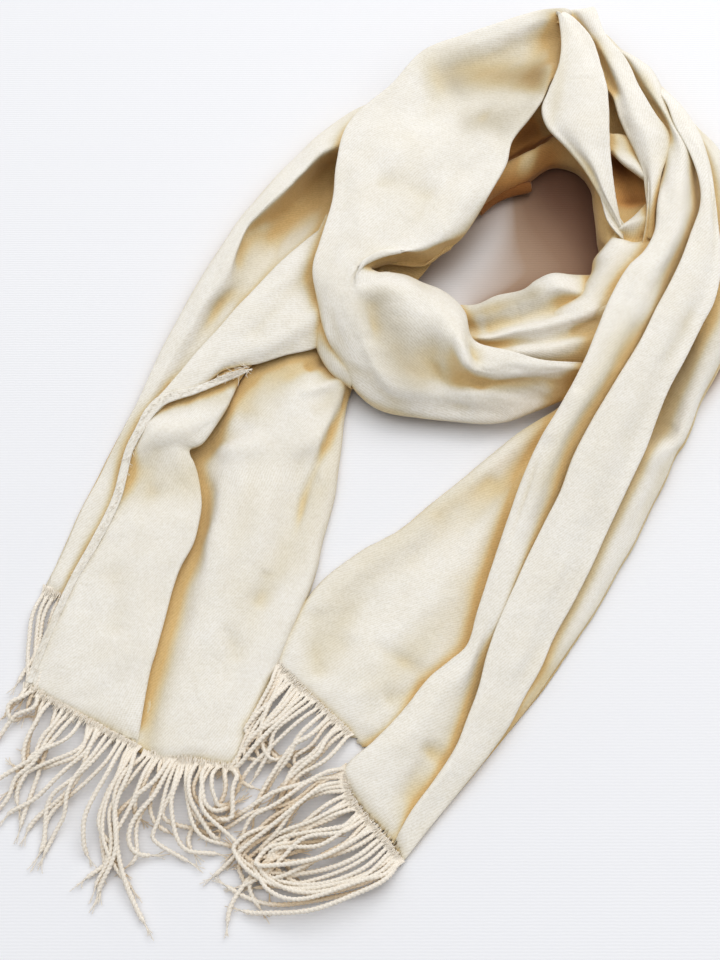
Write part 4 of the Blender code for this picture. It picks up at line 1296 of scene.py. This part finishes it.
# The inner fold of the right side, which widens into the right tail.
rightInner = {
    "replaces": ["right_fold_inner", "right_tail_front"],
    "mesh": (260, 66),
    "sides": ("straight", "open"),
    "waves": 0.7,
    "seed": 35,
    "hem": True,
    "back": 6,
    "rows": {
        "left edge": [
            (147, 365, 20), (164, 330, 28), (177, 305, 37), (189, 270, 40), (197, 240, 42),
            (203, 218, 44), (203, 194, 42), (195, 150, 56), (190, 122, 55), (181, 105, 55),
            (170, 94, 54), (154, 66, 53), (143, 40, 51), (132, 14, 49), (121, -7, 46), (111, -24, 43),
            (98, -45, 39), (85, -73, 34), (77, -94, 30), (69, -116, 26), (61, -139, 23),
            (52, -165, 19), (44, -189, 16), (32, -199, 13), (20, -208, 9), (2, -231, 7.5),
            (-20, -254, 6), (-34, -266, 5), (-39, -275, 4)],
        "crest": [
            (151, 361, 22), (170, 325, 32), (183, 298, 42), (195, 261, 47), (206, 231, 49),
            (209, 209, 52), (207, 182, 55), (200, 147, 58), (193, 119, 57), (185, 102, 57),
            (175, 90, 56), (160, 62, 55), (148, 37, 53), (137, 11, 51), (125, -10, 48), (115, -26, 45),
            (102, -49, 41), (90, -75, 36), (82, -96, 32), (72, -117, 28), (65, -141, 25),
            (56, -166, 21), (47, -190, 18), (37, -203, 15), (24, -214, 13), (6, -237, 11),
            (-15, -259, 9), (-29, -272, 7.5), (-35, -285, 5.5)],
        "middle": [
            (157, 356, 24), (175, 319, 35), (190, 292, 47), (202, 253, 53), (211, 219, 57),
            (216, 200, 58), (213, 174, 59), (207, 142, 60), (200, 116, 59), (192, 99, 59),
            (182, 85, 59), (167, 58, 58), (156, 33, 56), (143, 7, 54), (131, -15, 51), (120, -31, 47),
            (108, -53, 42), (97, -78, 37), (88, -98, 33), (78, -120, 29), (69, -143, 26),
            (59, -169, 22), (50, -193, 19), (42, -210, 17), (31, -224, 15), (15, -244, 13),
            (-4, -267, 10.5), (-19, -281, 8.5), (-27, -297, 6.5)],
        "slope": [
            (162, 353, 23), (180, 318, 34), (197, 292, 45), (207, 253, 50), (217, 220, 52),
            (224, 200, 53), (224, 175, 50), (217, 143, 54), (210, 119, 53), (202, 102, 52),
            (193, 86, 52), (179, 57, 54.5), (166, 32, 51.5), (152, 6, 48.5), (138, -15, 44.5),
            (127, -32, 40.5), (115, -54, 36.5), (105, -79, 32.5), (95, -98, 29.5), (84, -122, 27.5),
            (74, -146, 25.5), (63, -172, 22.5), (54, -194, 15.5), (48, -214, 11), (39, -234, 10),
            (27, -254, 8.5), (11, -276, 7), (-4, -291, 6), (-16, -309, 6)],
        "under the next fold": [
            (168, 351, 19), (186, 320, 28), (203, 295, 38), (214, 257, 41), (223, 224, 43),
            (230, 205, 44), (233, 177, 40), (231, 149, 41), (223, 125, 40), (215, 106, 39),
            (206, 90, 38), (192, 60, 42), (178, 34, 40), (162, 7, 38), (149, -16, 35), (137, -35, 32),
            (126, -57, 29), (116, -80, 26), (106, -100, 24), (93, -124, 22), (82, -147, 20),
            (70, -174, 18), (61, -197, 12), (55, -219, 6), (47, -240, 5.5), (38, -263, 4.5),
            (25, -285, 4), (10, -302, 3.5), (-4, -319, 4.5)],
    },
    "creases": [
        ("shade", 5, 0.45, [(187, 289), (195, 268), (202, 244), (209, 215)]),
        ("ridge", 4, 2.2, [(101, -49), (113, -30), (127, -7)]),
        ("shade", 12, 0.5, [(56, -214), (40, -247), (25, -273), (7, -298), (-4, -315)]),
        ("shade", 10, 0.42, [(176, 54), (142, -6), (120, -45), (105, -77), (95, -101)]),
        ("trough", 4, 2.0, [(11, -256), (22, -263), (32, -269)]),
        ("trough", 1.5, 2.0, [(98, -51), (91, -73), (82, -97), (73, -123)]),
        ("trough", 7, 2.2, [(27, -252), (12, -273), (0, -297)]),
        ("ridge", 5, 1.4, [(46, -198), (19, -233), (-9, -267)]),
        ("trough", 4, 1.4, [(191, 82), (165, 31), (140, -19)]),
    ],
}
layCloth("rightInner", rightInner)

# The middle fold of the right side, which lies over both its neighbours.
rightMiddle = {
    "replaces": ["right_fold_middle", "right_tail_middle"],
    "mesh": (260, 60),
    "sides": ("hang", "hang"),
    "waves": 0.7,
    "seed": 39,
    "hem": True,
    "back": 6,
    "rows": {
        "left edge": [
            (161, 350, 16), (177, 315, 26), (193, 285, 36), (208, 250, 51), (213, 219, 56),
            (221, 193, 58), (226, 164, 57), (224, 143, 56), (216, 122, 55), (207, 99, 55),
            (199, 82, 54), (185, 56, 53), (172, 30, 51), (156, 4, 48), (143, -17, 45), (131, -37, 42),
            (120, -59, 39), (111, -82, 35), (101, -101, 32), (89, -124, 28), (78, -147, 25),
            (66, -173, 22), (57, -197, 19), (51, -219, 16), (43, -239, 12), (36, -256, 10),
            (21, -279, 8), (6, -299, 6), (-5, -318, 4.5)],
        "crest": [
            (164, 346, 18), (181, 311, 28), (197, 281, 39), (211, 247, 53), (219, 216, 57.5),
            (226, 192, 58.5), (230, 163, 59), (227, 140, 58), (221, 119, 57), (212, 97, 57),
            (204, 79, 56), (191, 54, 55), (178, 28, 53), (163, 2, 50), (151, -19, 47), (139, -39, 44),
            (128, -60, 41), (119, -82, 37), (109, -102, 34), (96, -125, 30), (85, -148, 27),
            (72, -174, 24), (63, -197, 21), (57, -218, 18), (48, -238, 16), (39, -256, 13.5),
            (24, -279, 11), (9, -299, 8.5), (-4, -321, 6)],
        "middle": [
            (169, 342, 19), (186, 308, 29), (202, 278, 40), (216, 246, 52), (225, 213, 57),
            (232, 190, 58), (232, 161, 58), (230, 137, 58), (227, 116, 57), (220, 93, 56),
            (213, 75, 55), (201, 50, 54), (188, 25, 52), (173, -1, 49), (162, -23, 46), (151, -43, 43),
            (141, -64, 40), (131, -85, 36), (121, -105, 33), (109, -129, 29), (97, -152, 26),
            (84, -177, 23), (74, -200, 20), (65, -219, 17), (55, -238, 15), (46, -256, 13),
            (29, -279, 10.5), (12, -300, 8), (-3, -324, 5.5)],
        "right crown": [
            (173, 339, 18), (191, 306, 28), (207, 277, 38), (220, 247, 49), (230, 213, 53),
            (235, 189, 54), (236, 160, 54), (235, 135, 53), (234, 113, 52), (231, 92, 50),
            (224, 73, 49), (213, 51, 47), (199, 24, 45), (186, -3, 42), (175, -25, 39), (165, -45, 36),
            (156, -66, 33), (145, -88, 30), (135, -108, 27), (123, -133, 24), (111, -157, 21),
            (97, -181, 18), (87, -202, 16), (76, -221, 14), (65, -241, 12), (53, -258, 10),
            (35, -281, 8.5), (16, -303, 6.5), (-2, -328, 5)],
        "right edge": [
            (178, 338, 15), (196, 305, 24), (211, 278, 33), (224, 247, 44), (234, 214, 48),
            (237, 187, 51.5), (238, 158, 51.5), (238, 132, 50.5), (238, 110, 49.5), (236, 89, 47.5),
            (230, 68, 46.5), (219, 47, 44.5), (205, 20, 42.5), (191, -5, 39.5), (181, -28, 36.5),
            (173, -48, 33.5), (163, -68, 30.5), (152, -90, 27.5), (142, -110, 24.5), (130, -135, 21.5),
            (117, -159, 18.5), (103, -183, 15.5), (93, -205, 13.5), (82, -223, 10), (71, -243, 8),
            (58, -261, 6.5), (40, -283, 5.5), (20, -307, 4.5), (0, -332, 4)],
    },
    "creases": [
        ("trough", 5, 1.2, [(219, 74), (181, 1), (149, -60)]),
        ("ridge", 4, 1.2, [(119, -118), (93, -169), (71, -219)]),
        ("trough", 4, 1.0, [(128, -133), (103, -177), (80, -222)]),
    ],
}
layCloth("rightMiddle", rightMiddle)

# The turn beside the neck hole, which ends in a small flap and a knot of folds.
innerTurn = {
    "replaces": ["inner_turn"],
    "mesh": (140, 56),
    "sides": ("hang", "hang"),
    "waves": 0.6,
    "seed": 43,
    "back": 6,
    "rows": {
        "under the twist": [
            (132, 355, 37), (147, 321, 38), (156, 291, 39), (165, 269, 43), (169, 256, 47),
            (172, 238, 47), (177, 221, 46), (183, 203, 45), (187, 186, 44), (188, 169, 42),
            (188, 150, 41), (186, 129, 38)],
        "left crown": [
            (140, 356, 37), (153, 322, 40), (164, 291, 42), (170, 267, 45), (173, 254, 49),
            (175, 237, 49), (180, 219, 48), (185, 201, 47), (189, 184, 46), (190, 168, 44),
            (189, 149, 43), (187, 127, 40)],
        "crown": [
            (146, 353, 41), (159, 319, 47), (170, 286, 51), (177, 261, 53), (180, 248, 54),
            (184, 232, 54), (190, 214, 54), (193, 197, 52), (192, 181, 50), (192, 165, 48),
            (190, 147, 45), (188, 126, 41)],
        "right crown": [
            (154, 353, 42), (163, 319, 49), (177, 290, 50), (185, 263, 52), (190, 249, 53),
            (195, 232, 53), (202, 215, 53), (202, 198, 51), (198, 181, 50), (195, 165, 47),
            (193, 147, 45), (190, 126, 41)],
        "right edge": [
            (162, 357, 38), (168, 321, 47.5), (183, 292, 48.5), (190, 264, 50.5), (195, 249, 51.5),
            (201, 234, 51.5), (209, 216, 51.5), (207, 199, 49.5), (201, 182, 48.5), (198, 167, 45.5),
            (194, 148, 43.5), (192, 127, 40)],
    },
    "creases": [
        ("shade", 6, 0.45, [(156, 324), (162, 297), (166, 270), (168, 248)]),
    ],
}
layCloth("innerTurn", innerTurn)

# The twist over the top of the loop.
topTwist = {
    "replaces": ["top_twist"],
    "mesh": (150, 50),
    "sides": ("hang", "hang"),
    "waves": 0.6,
    "seed": 47,
    "back": 6,
    "rows": {
        "hole edge": [
            (130, 342, 50), (131, 309, 55.5), (127, 280, 55.5), (119, 259, 52.5), (113, 243, 49.5),
            (116, 226, 48.5), (129, 209, 46.5), (142, 189, 44.5), (154, 164, 41.5), (162, 149, 37),
            (168, 140, 34)],
        "left crown": [
            (131, 338, 53), (135, 309, 57), (132, 279, 57), (126, 257, 54), (121, 242, 51),
            (123, 225, 50), (134, 207, 48), (146, 188, 46), (156, 163, 43), (164, 148, 39),
            (169, 140, 35)],
        "crown": [
            (131, 336, 54), (140, 310, 58), (143, 277, 59), (141, 254, 58), (138, 237, 56),
            (138, 219, 55), (144, 201, 53), (151, 182, 50), (159, 159, 45), (165, 147, 40),
            (169, 140, 35)],
        "right crown": [
            (133, 337, 53), (147, 312, 56), (155, 279, 57), (156, 255, 57), (156, 236, 56),
            (155, 216, 55), (156, 200, 52), (158, 179, 49), (163, 159, 44), (166, 148, 40),
            (170, 141, 35)],
        "outer edge": [
            (135, 341, 50), (153, 315, 54.5), (161, 280, 55.5), (164, 256, 55.5), (164, 237, 54.5),
            (163, 216, 53.5), (163, 200, 50.5), (164, 178, 47.5), (166, 159, 42.5), (168, 150, 38),
            (170, 142, 34)],
    },
    "creases": [
        ("shade", 5, 0.25, [(134, 331), (130, 291), (124, 247), (115, 211)]),
        ("trough", 1.2, 0.8, [(132, 266), (143, 265), (155, 265)]),
    ],
}
layCloth("topTwist", topTwist)

# A small flap of the inner turn.
flap = {
    "replaces": ["inner_turn"],
    "mesh": (40, 24),
    "sides": ("hang", "hang"),
    "waves": 0.2,
    "seed": 57,
    "rows": {
        "upper edge": [
            (158, 226, 40), (165, 225, 41), (173, 224, 41), (182, 221, 41), (191, 210, 40),
            (198, 204, 38)],
        "middle": [
            (157, 217, 41), (165, 214, 43), (173, 209, 43), (182, 205, 43), (190, 196, 42),
            (198, 191, 40)],
        "lower edge": [
            (158, 212, 40), (165, 206, 42), (172, 196, 42), (182, 186, 42), (190, 179, 41),
            (197, 176, 39)],
    },
}
layCloth("flap", flap)

# Below the inner turn the cloth folds over itself and runs into the bottom of the loop.
knuckle = {
    "replaces": ["inner_turn"],
    "mesh": (90, 60),
    "sides": ("straight", "open"),
    "waves": 0.5,
    "seed": 59,
    "rows": {
        "left edge": [
            (189, 162, 36), (179, 151, 35), (168, 142, 33), (163, 137, 29), (156, 129, 26),
            (148, 119, 23), (146, 109, 22), (138, 95, 21), (135, 89, 20), (127, 83, 19), (114, 79, 16),
            (104, 76, 12)],
        "left crown": [
            (190, 161, 37), (183, 151, 37.5), (174, 142, 38), (168, 137, 31), (160, 127, 34),
            (153, 117, 33), (151, 106, 32), (143, 92, 30), (139, 82, 31), (130, 72, 32), (119, 68, 27),
            (109, 67, 20)],
        "middle": [
            (192, 159, 38), (188, 151, 39), (183, 144, 40), (180, 132, 33), (172, 121, 39),
            (167, 110, 39), (162, 100, 38), (152, 87, 36), (150, 75, 36.5), (139, 63, 36),
            (125, 59, 32.5), (114, 58, 25)],
        "right side": [
            (198, 158, 38), (198, 153, 39), (198, 147, 40), (197, 134, 38), (195, 120, 40),
            (189, 106, 39), (179, 94, 38), (168, 82, 36), (163, 71, 33), (152, 63, 26), (138, 58, 19),
            (125, 58, 14)],
    },
    "creases": [
        ("shade", 9, -0.5, [(111, 46), (128, 54), (147, 64), (166, 76)]),
        ("trough", 2.2, 3.0, [(163, 135), (170, 134), (180, 130), (190, 135)]),
    ],
}
layCloth("knuckle", knuckle)

# The layer inside the eye of the drape.
eyeLining = {
    "replaces": [],
    "mesh": (40, 40),
    "sides": ("open", "open"),
    "waves": 0.4,
    "seed": 61,
    "rows": {
        "upper side": [(-27, 125, 26), (-12, 128, 24), (7, 132, 19), (34, 136, 13)],
        "middle": [(-27, 114, 22), (-12, 116, 20), (6, 119, 16), (26, 123, 11)],
        "lower side": [(-27, 96, 26), (-14, 96, 24), (1, 99, 18), (14, 105, 12)],
    },
    "creases": [
        ("ridge", 1.6, 2.5, [(-18, 104), (-14, 110), (-9, 113)]),
        ("ridge", 1.2, 2.0, [(-12, 102), (-9, 107), (-5, 113)]),
    ],
}
layCloth("eyeLining", eyeLining)

# The layer that peeks out under the left side of the drape.
drapeRim = {
    "replaces": [],
    "mesh": (120, 24),
    "sides": ("hang", "open"),
    "waves": 0.4,
    "seed": 63,
    "rows": {
        "outer edge": [
            (-53, 162, 22), (-60, 144, 21), (-66, 120, 20), (-68, 101, 20), (-66, 79, 19),
            (-62, 58, 18), (-57, 39, 17), (-48, 24, 16), (-34, 12, 15)],
        "crown": [
            (-50, 158, 26), (-56, 139, 25), (-62, 115, 25), (-64, 96, 25), (-62, 75, 25),
            (-58, 55, 24), (-52, 38, 23), (-44, 24, 22), (-31, 14, 21)],
        "under the drape": [
            (-38, 155, 28), (-44, 134, 28), (-49, 110, 28), (-49, 92, 28), (-45, 75, 28),
            (-42, 61, 28), (-36, 48, 28), (-30, 37, 27), (-21, 27, 26)],
    },
}
layCloth("drapeRim", drapeRim)

# The wide drape across the front, turning into the lower roll.
drape = {
    "replaces": ["front_drape", "lower_roll"],
    "mesh": (270, 112),
    "sides": ("hang", "hang"),
    "waves": 0.9,
    "seed": 51,
    "back": 6,
    "rows": {
        "outer edge": [
            (140, 348, 46), (124, 346, 48), (89, 333, 48), (59, 322, 46), (29, 311, 44), (-3, 273, 42),
            (-39, 229, 41), (-45, 198, 41), (-48, 162, 41), (-57, 124, 40), (-62, 102, 39),
            (-59, 80, 31), (-53, 52, 27), (-42, 29, 21), (-28, 7, 14), (-9, -6, 12), (16, -11, 12),
            (41, -14, 12), (63, -16, 12), (79, -14, 12), (97, -7, 12.5), (115, 1, 13), (133, 10, 13),
            (150, 20, 14)],
        "outer crown": [
            (139, 340, 47), (124, 335, 51), (92, 322, 50), (63, 312, 48), (35, 301, 46), (4, 264, 44),
            (-29, 223, 43), (-35, 193, 43), (-39, 158, 43), (-49, 122, 42), (-53, 102, 41),
            (-52, 77, 40), (-44, 51, 37), (-33, 30, 33), (-20, 12, 27), (-5, -1, 22), (17, -6, 20),
            (41, -7, 19.5), (62, -10, 19.5), (77, -8, 20), (95, 0, 20.5), (113, 5, 22.5),
            (130, 13, 22.5), (148, 23, 22)],
        "middle": [
            (137, 321, 42), (125, 322, 41), (98, 309, 41.5), (73, 296, 42), (50, 283, 41),
            (26, 246, 41), (-3, 204, 47), (-9, 179, 46), (-17, 150, 46), (-28, 118, 46),
            (-37, 101, 46), (-40, 81, 45), (-39, 61, 43), (-30, 42, 39), (-21, 25, 37), (-8, 5, 30),
            (12, 1, 27), (32, 0, 26), (50, -2, 26.5), (66, 0, 28), (85, 7, 29), (104, 10, 32.5),
            (123, 13, 32), (141, 19, 33)],
        "valley": [
            (135, 302, 43), (124, 299, 44), (103, 284, 44), (84, 269, 45), (70, 251, 45),
            (56, 215, 48), (32, 184, 46), (24, 165, 45), (12, 139, 45), (-3, 117, 45), (-17, 106, 46),
            (-31, 91, 46), (-32, 78, 45), (-27, 67, 42.5), (-18, 51, 38), (-8, 35, 36), (5, 25, 32),
            (22, 26, 28), (35, 13, 28), (50, 8, 30), (68, 8, 36), (92, 12, 39), (116, 14, 37.5),
            (139, 16, 36)],
        "inner crown": [
            (135, 282, 44), (125, 281, 50), (111, 256, 51), (98, 237, 51), (86, 221, 50),
            (77, 195, 49), (62, 165, 48), (51, 148, 47), (40, 128, 46), (25, 116, 46), (10, 110, 47),
            (-12, 110, 46), (-27, 97, 46.5), (-24, 81, 46), (-10, 78, 49), (4, 72, 48), (17, 61, 45),
            (28, 47, 44), (38, 30, 44), (46, 14, 44), (60, 11, 42), (83, 19, 42), (110, 17, 39.5),
            (134, 19, 37)],
        "hole edge": [
            (134, 275, 43), (126, 274, 49), (114, 250, 50), (103, 232, 49.5), (91, 215, 48.5),
            (84, 190, 47.5), (70, 162, 46.5), (62, 150, 39), (49, 131, 35), (37, 124, 31),
            (26, 117, 27), (0, 114, 31), (-18, 102, 38), (-14, 97, 38), (-5, 100, 31), (7, 101, 24),
            (18, 99, 17), (31, 94, 15), (42, 85, 15), (51, 71, 17), (55, 44, 28), (79, 28, 40.5),
            (104, 21, 39), (130, 20, 37)],
    },
    "creases": [
        ("shade", 16, 0.36, [(-23, 82), (-11, 54), (2, 28), (16, 8), (30, -5)]),
        ("paintedDim", 18, 0.2, [(-23, 82), (-11, 54), (2, 28), (16, 8), (30, -5)]),
        ("shade", 9, -0.35, [(-4, -3), (17, -11), (38, -13), (58, -14), (78, -11), (97, -4), (116, 6)]),
        ("shade", 8, -0.3, [(73, 1), (98, 6), (123, 12)]),
        ("shade", 8, -0.5, [(-37, 22), (-23, 6), (-4, -5), (16, -9), (41, -11), (63, -14), (79, -11),
             (97, -4), (118, 6)]),
        ("shade", 11, 0.06, [(-26, 78), (-14, 50), (4, 25), (27, 3)]),
        ("shade", 22, 0.75, [(15, 277), (45, 282), (77, 281), (106, 279), (127, 277)]),
        ("paintedDim", 20, 0.34, [(33, 273), (53, 280), (78, 281), (106, 279), (130, 277)]),
        ("shade", 13, 0.6, [(133, 356), (127, 329), (121, 302), (112, 273), (102, 247)]),
        ("paintedDim", 12, 0.18, [(133, 356), (127, 329), (121, 302), (112, 273), (102, 247)]),
        ("shade", 15, 0.3, [(42, 229), (73, 233), (92, 235), (117, 246)]),
        ("paintedDim", 15, 0.2, [(42, 229), (73, 233), (92, 235), (117, 246)]),
        ("shade", 14, 0.1, [(-12, 186), (18, 161), (30, 143)]),
        ("fold", 6, 2.8, [(-29, 83), (-26, 65), (-20, 38)]),
        ("fold", 2, 2.0, [(-52, 56), (-47, 36), (-39, 15)]),
        ("trough", 12, 1.2, [(36, 287), (66, 293), (100, 304), (125, 312)]),
        ("trough", 5, 3.0, [(55, 36), (57, 19), (61, 1)]),
        ("trough", 8, 1.6, [(-19, 180), (7, 171), (33, 160)]),
        ("trough", 9, 1.6, [(64, 246), (80, 223), (89, 203)]),
        ("ridge", 8, 1.4, [(-36, 205), (-27, 158), (-30, 112)]),
        ("ridge", 6, 2.0, [(-4, 92), (14, 78), (33, 52), (46, 23), (55, -7), (61, -28)]),
        ("trough", 10, 1.2, [(-21, 82), (-12, 55), (5, 30), (28, 4)]),
    ],
}
layCloth("drape", drape)

# The frayed selvage that runs off the shoulder and down the front flap.
selvageFray = {
    "width": 2.6,           # mm
    "apart": 0.8,           # steps along the line from one hair to the next
    "pulled": 16,           # steps at its upper end that are pulled apart
    "pulledApart": 0.2,
    "hair": 0.17,           # mm
    "seed": 151,
    "line": [
        (-107, 25, 21), (-120, 19, 22), (-136, 11, 22), (-146, 6, 22), (-160, 2, 21.5), (-169, -2, 21),
        (-177, -10, 20.5), (-184, -25, 19), (-189, -39, 17.5), (-193, -55, 13.5), (-196, -72, 12.5),
        (-209, -108, 11), (-224, -139, 9.5), (-237, -176, 7.5), (-248, -211, 5),
    ],
}
fraySelvage("selvageFray", selvageFray)

profile = plyProfile()

# The fringe of the left tail's back layer, which shows only at the far left.
backFringe = {
    "replaces": ["left_fringe_back"],
    "strands": 6,
    "stray": 4,
    "pile": 2,
    "seed": 101,
    "hem": [((-244, -142, 2.5), (-222, -150, 3))],
    "guides": [
        [(-243, -141, 3), (-248, -159, 2.5), (-249, -179, 2.5), (-246, -198, 2.5), (-251, -215, 2.5)],
        [(-234, -144, 3), (-241, -163, 3), (-243, -183, 2.5), (-247, -201, 2.5), (-253, -222, 2.5)],
        [(-222, -150, 3), (-229, -172, 3), (-235, -190, 2.5), (-239, -208, 2.5), (-246, -231, 2.5)],
    ],
}
makeFringe("backFringe", backFringe)

# The fringe of the front flap.
frontFringe = {
    "replaces": ["left_fringe_front"],
    "strands": 22,
    "stray": 8,
    "pile": 6,
    "seed": 111,
    "hem": [((-249, -213, 4), (-212, -235, 5)), ((-212, -235, 5), (-173, -256, 4.5))],
    "guides": [
        [(-249, -213, 4), (-253, -223, 3), (-258, -229, 2), (-262, -231, 2)],
        [(-237, -219, 4), (-247, -238, 4), (-252, -252, 3), (-257, -262, 2), (-260, -262, 2)],
        [(-226, -226, 5), (-236, -248, 6), (-247, -268, 4), (-252, -288, 3), (-255, -304, 2)],
        [(-215, -232, 5), (-226, -253, 7), (-238, -270, 5), (-250, -288, 3), (-256, -300, 2)],
        [(-204, -239, 5), (-206, -256, 8), (-216, -262, 7), (-229, -268, 5), (-238, -270, 3),
         (-260, -264, 2)],
        [(-196, -243, 5), (-204, -260, 8), (-214, -276, 6), (-222, -292, 5), (-227, -311, 3),
         (-230, -329, 2)],
        [(-185, -249, 5), (-195, -268, 9), (-206, -280, 7), (-217, -292, 5), (-225, -306, 3),
         (-229, -327, 2)],
        [(-176, -254, 5), (-184, -276, 9), (-190, -294, 7), (-191, -311, 5), (-181, -331, 3),
         (-166, -348, 2)],
        [(-173, -256, 5), (-177, -276, 9), (-184, -296, 7), (-184, -315, 5), (-189, -337, 3),
         (-191, -352, 2)],
    ],
}
makeFringe("frontFringe", frontFringe)

# The fringe of the left tail's side.
sideFringe = {
    "replaces": ["left_fringe_side"],
    "strands": 20,
    "stray": 8,
    "pile": 6,
    "seed": 121,
    "hem": [((-164, -259, 4), (-134, -265, 5)), ((-134, -265, 5), (-109, -269, 4))],
    "guides": [
        [(-167, -260, 5), (-178, -279, 8), (-185, -296, 6), (-181, -315, 5), (-170, -335, 3),
         (-157, -353, 2)],
        [(-159, -262, 5), (-165, -279, 8), (-172, -297, 6), (-180, -317, 5), (-187, -335, 3),
         (-196, -348, 2)],
        [(-152, -263, 5), (-159, -283, 8), (-162, -292, 6), (-165, -296, 5), (-163, -300, 3)],
        [(-146, -264, 5), (-152, -283, 8), (-157, -300, 6), (-161, -314, 4), (-153, -324, 3),
         (-141, -329, 2)],
        [(-140, -265, 5), (-142, -286, 8), (-136, -304, 6), (-125, -314, 4), (-115, -317, 3),
         (-108, -318, 2)],
        [(-131, -266, 5), (-134, -286, 8), (-130, -302, 6), (-120, -310, 4), (-112, -308, 3),
         (-107, -299, 2)],
        [(-122, -268, 5), (-126, -283, 8), (-125, -296, 6), (-115, -306, 4), (-104, -309, 3),
         (-94, -312, 2)],
        [(-110, -270, 5), (-107, -279, 7), (-111, -288, 5), (-116, -295, 4), (-122, -302, 3)],
    ],
}
makeFringe("sideFringe", sideFringe)

# The fringe of the right tail's lower layer, which curls over to the left.
lowerFringe = {
    "replaces": ["right_fringe_lower"],
    "strands": 20,
    "stray": 8,
    "pile": 6,
    "seed": 131,
    "hem": [((-83, -195, 3), (-60, -220, 4)), ((-60, -220, 4), (-34, -246, 4.5))],
    "guides": [
        [(-82, -197, 4), (-87, -217, 6), (-92, -234, 5), (-95, -251, 4), (-91, -264, 3)],
        [(-78, -203, 4), (-88, -228, 7), (-95, -245, 6), (-91, -261, 5), (-79, -263, 4), (-64, -254, 3)],
        [(-72, -210, 4), (-83, -228, 8), (-94, -242, 7), (-98, -255, 5), (-87, -262, 4), (-69, -252, 3)],
        [(-66, -216, 4), (-78, -233, 8), (-91, -244, 7), (-99, -253, 5), (-108, -261, 4),
         (-117, -268, 3)],
        [(-58, -223, 5), (-73, -240, 8), (-86, -253, 7), (-97, -268, 5), (-106, -284, 3)],
        [(-48, -233, 5), (-63, -249, 9), (-76, -260, 7), (-87, -273, 5), (-94, -288, 3)],
        [(-40, -240, 5), (-54, -254, 9), (-69, -266, 7), (-80, -280, 5), (-90, -295, 3)],
        [(-34, -247, 5), (-47, -261, 9), (-62, -272, 7), (-74, -286, 5), (-85, -301, 3)],
    ],
}
makeFringe("lowerFringe", lowerFringe)

# The fringe of the right tail, bunched into one loose swirl.
tailFringe = {
    "replaces": ["right_fringe_front"],
    "strands": 30,
    "stray": 8,
    "pile": 8,
    "seed": 141,
    "hem": [((-38, -273, 4), (-32, -292, 5)), ((-32, -292, 5), (-17, -310, 5)),
            ((-17, -310, 5), (-3, -329, 4))],
    "guides": [
        [(-36, -270, 5), (-48, -277, 9), (-62, -287, 8), (-78, -296, 6), (-94, -308, 4),
         (-106, -318, 2)],
        [(-38, -276, 5), (-53, -281, 9), (-68, -291, 8), (-86, -303, 6), (-101, -314, 4),
         (-115, -330, 2)],
        [(-36, -284, 5), (-51, -290, 9), (-68, -300, 8), (-84, -316, 6), (-99, -325, 4),
         (-120, -335, 2)],
        [(-33, -292, 5), (-46, -301, 9), (-62, -311, 8), (-79, -317, 6), (-94, -324, 4), (-98, -331, 3),
         (-89, -343, 2)],
        [(-28, -298, 5), (-41, -309, 9), (-58, -316, 8), (-75, -325, 6), (-92, -334, 4), (-99, -343, 2)],
        [(-23, -305, 5), (-36, -318, 9), (-52, -324, 8), (-71, -331, 6), (-89, -342, 4), (-95, -353, 2)],
        [(-17, -311, 5), (-32, -323, 9), (-54, -330, 8), (-75, -332, 6), (-92, -326, 5), (-89, -317, 5),
         (-72, -309, 7)],
        [(-10, -319, 5), (-26, -335, 8), (-46, -344, 7), (-70, -346, 5), (-92, -336, 4), (-97, -325, 4),
         (-89, -319, 5), (-65, -313, 7)],
        [(-5, -328, 5), (-19, -340, 7), (-42, -349, 6), (-68, -352, 5), (-94, -338, 4), (-99, -327, 4),
         (-89, -319, 6), (-61, -312, 8), (-46, -303, 9)],
        [(-3, -329, 4), (-14, -342, 6), (-36, -351, 5), (-65, -355, 4), (-93, -347, 3), (-105, -339, 2)],
        [(-2, -331, 4), (-11, -344, 6), (-32, -355, 5), (-57, -360, 4), (-82, -358, 3), (-94, -355, 2)],
    ],
}
makeFringe("tailFringe", tailFringe)
bpy.data.objects.remove(profile)

paintShadeInHollows()
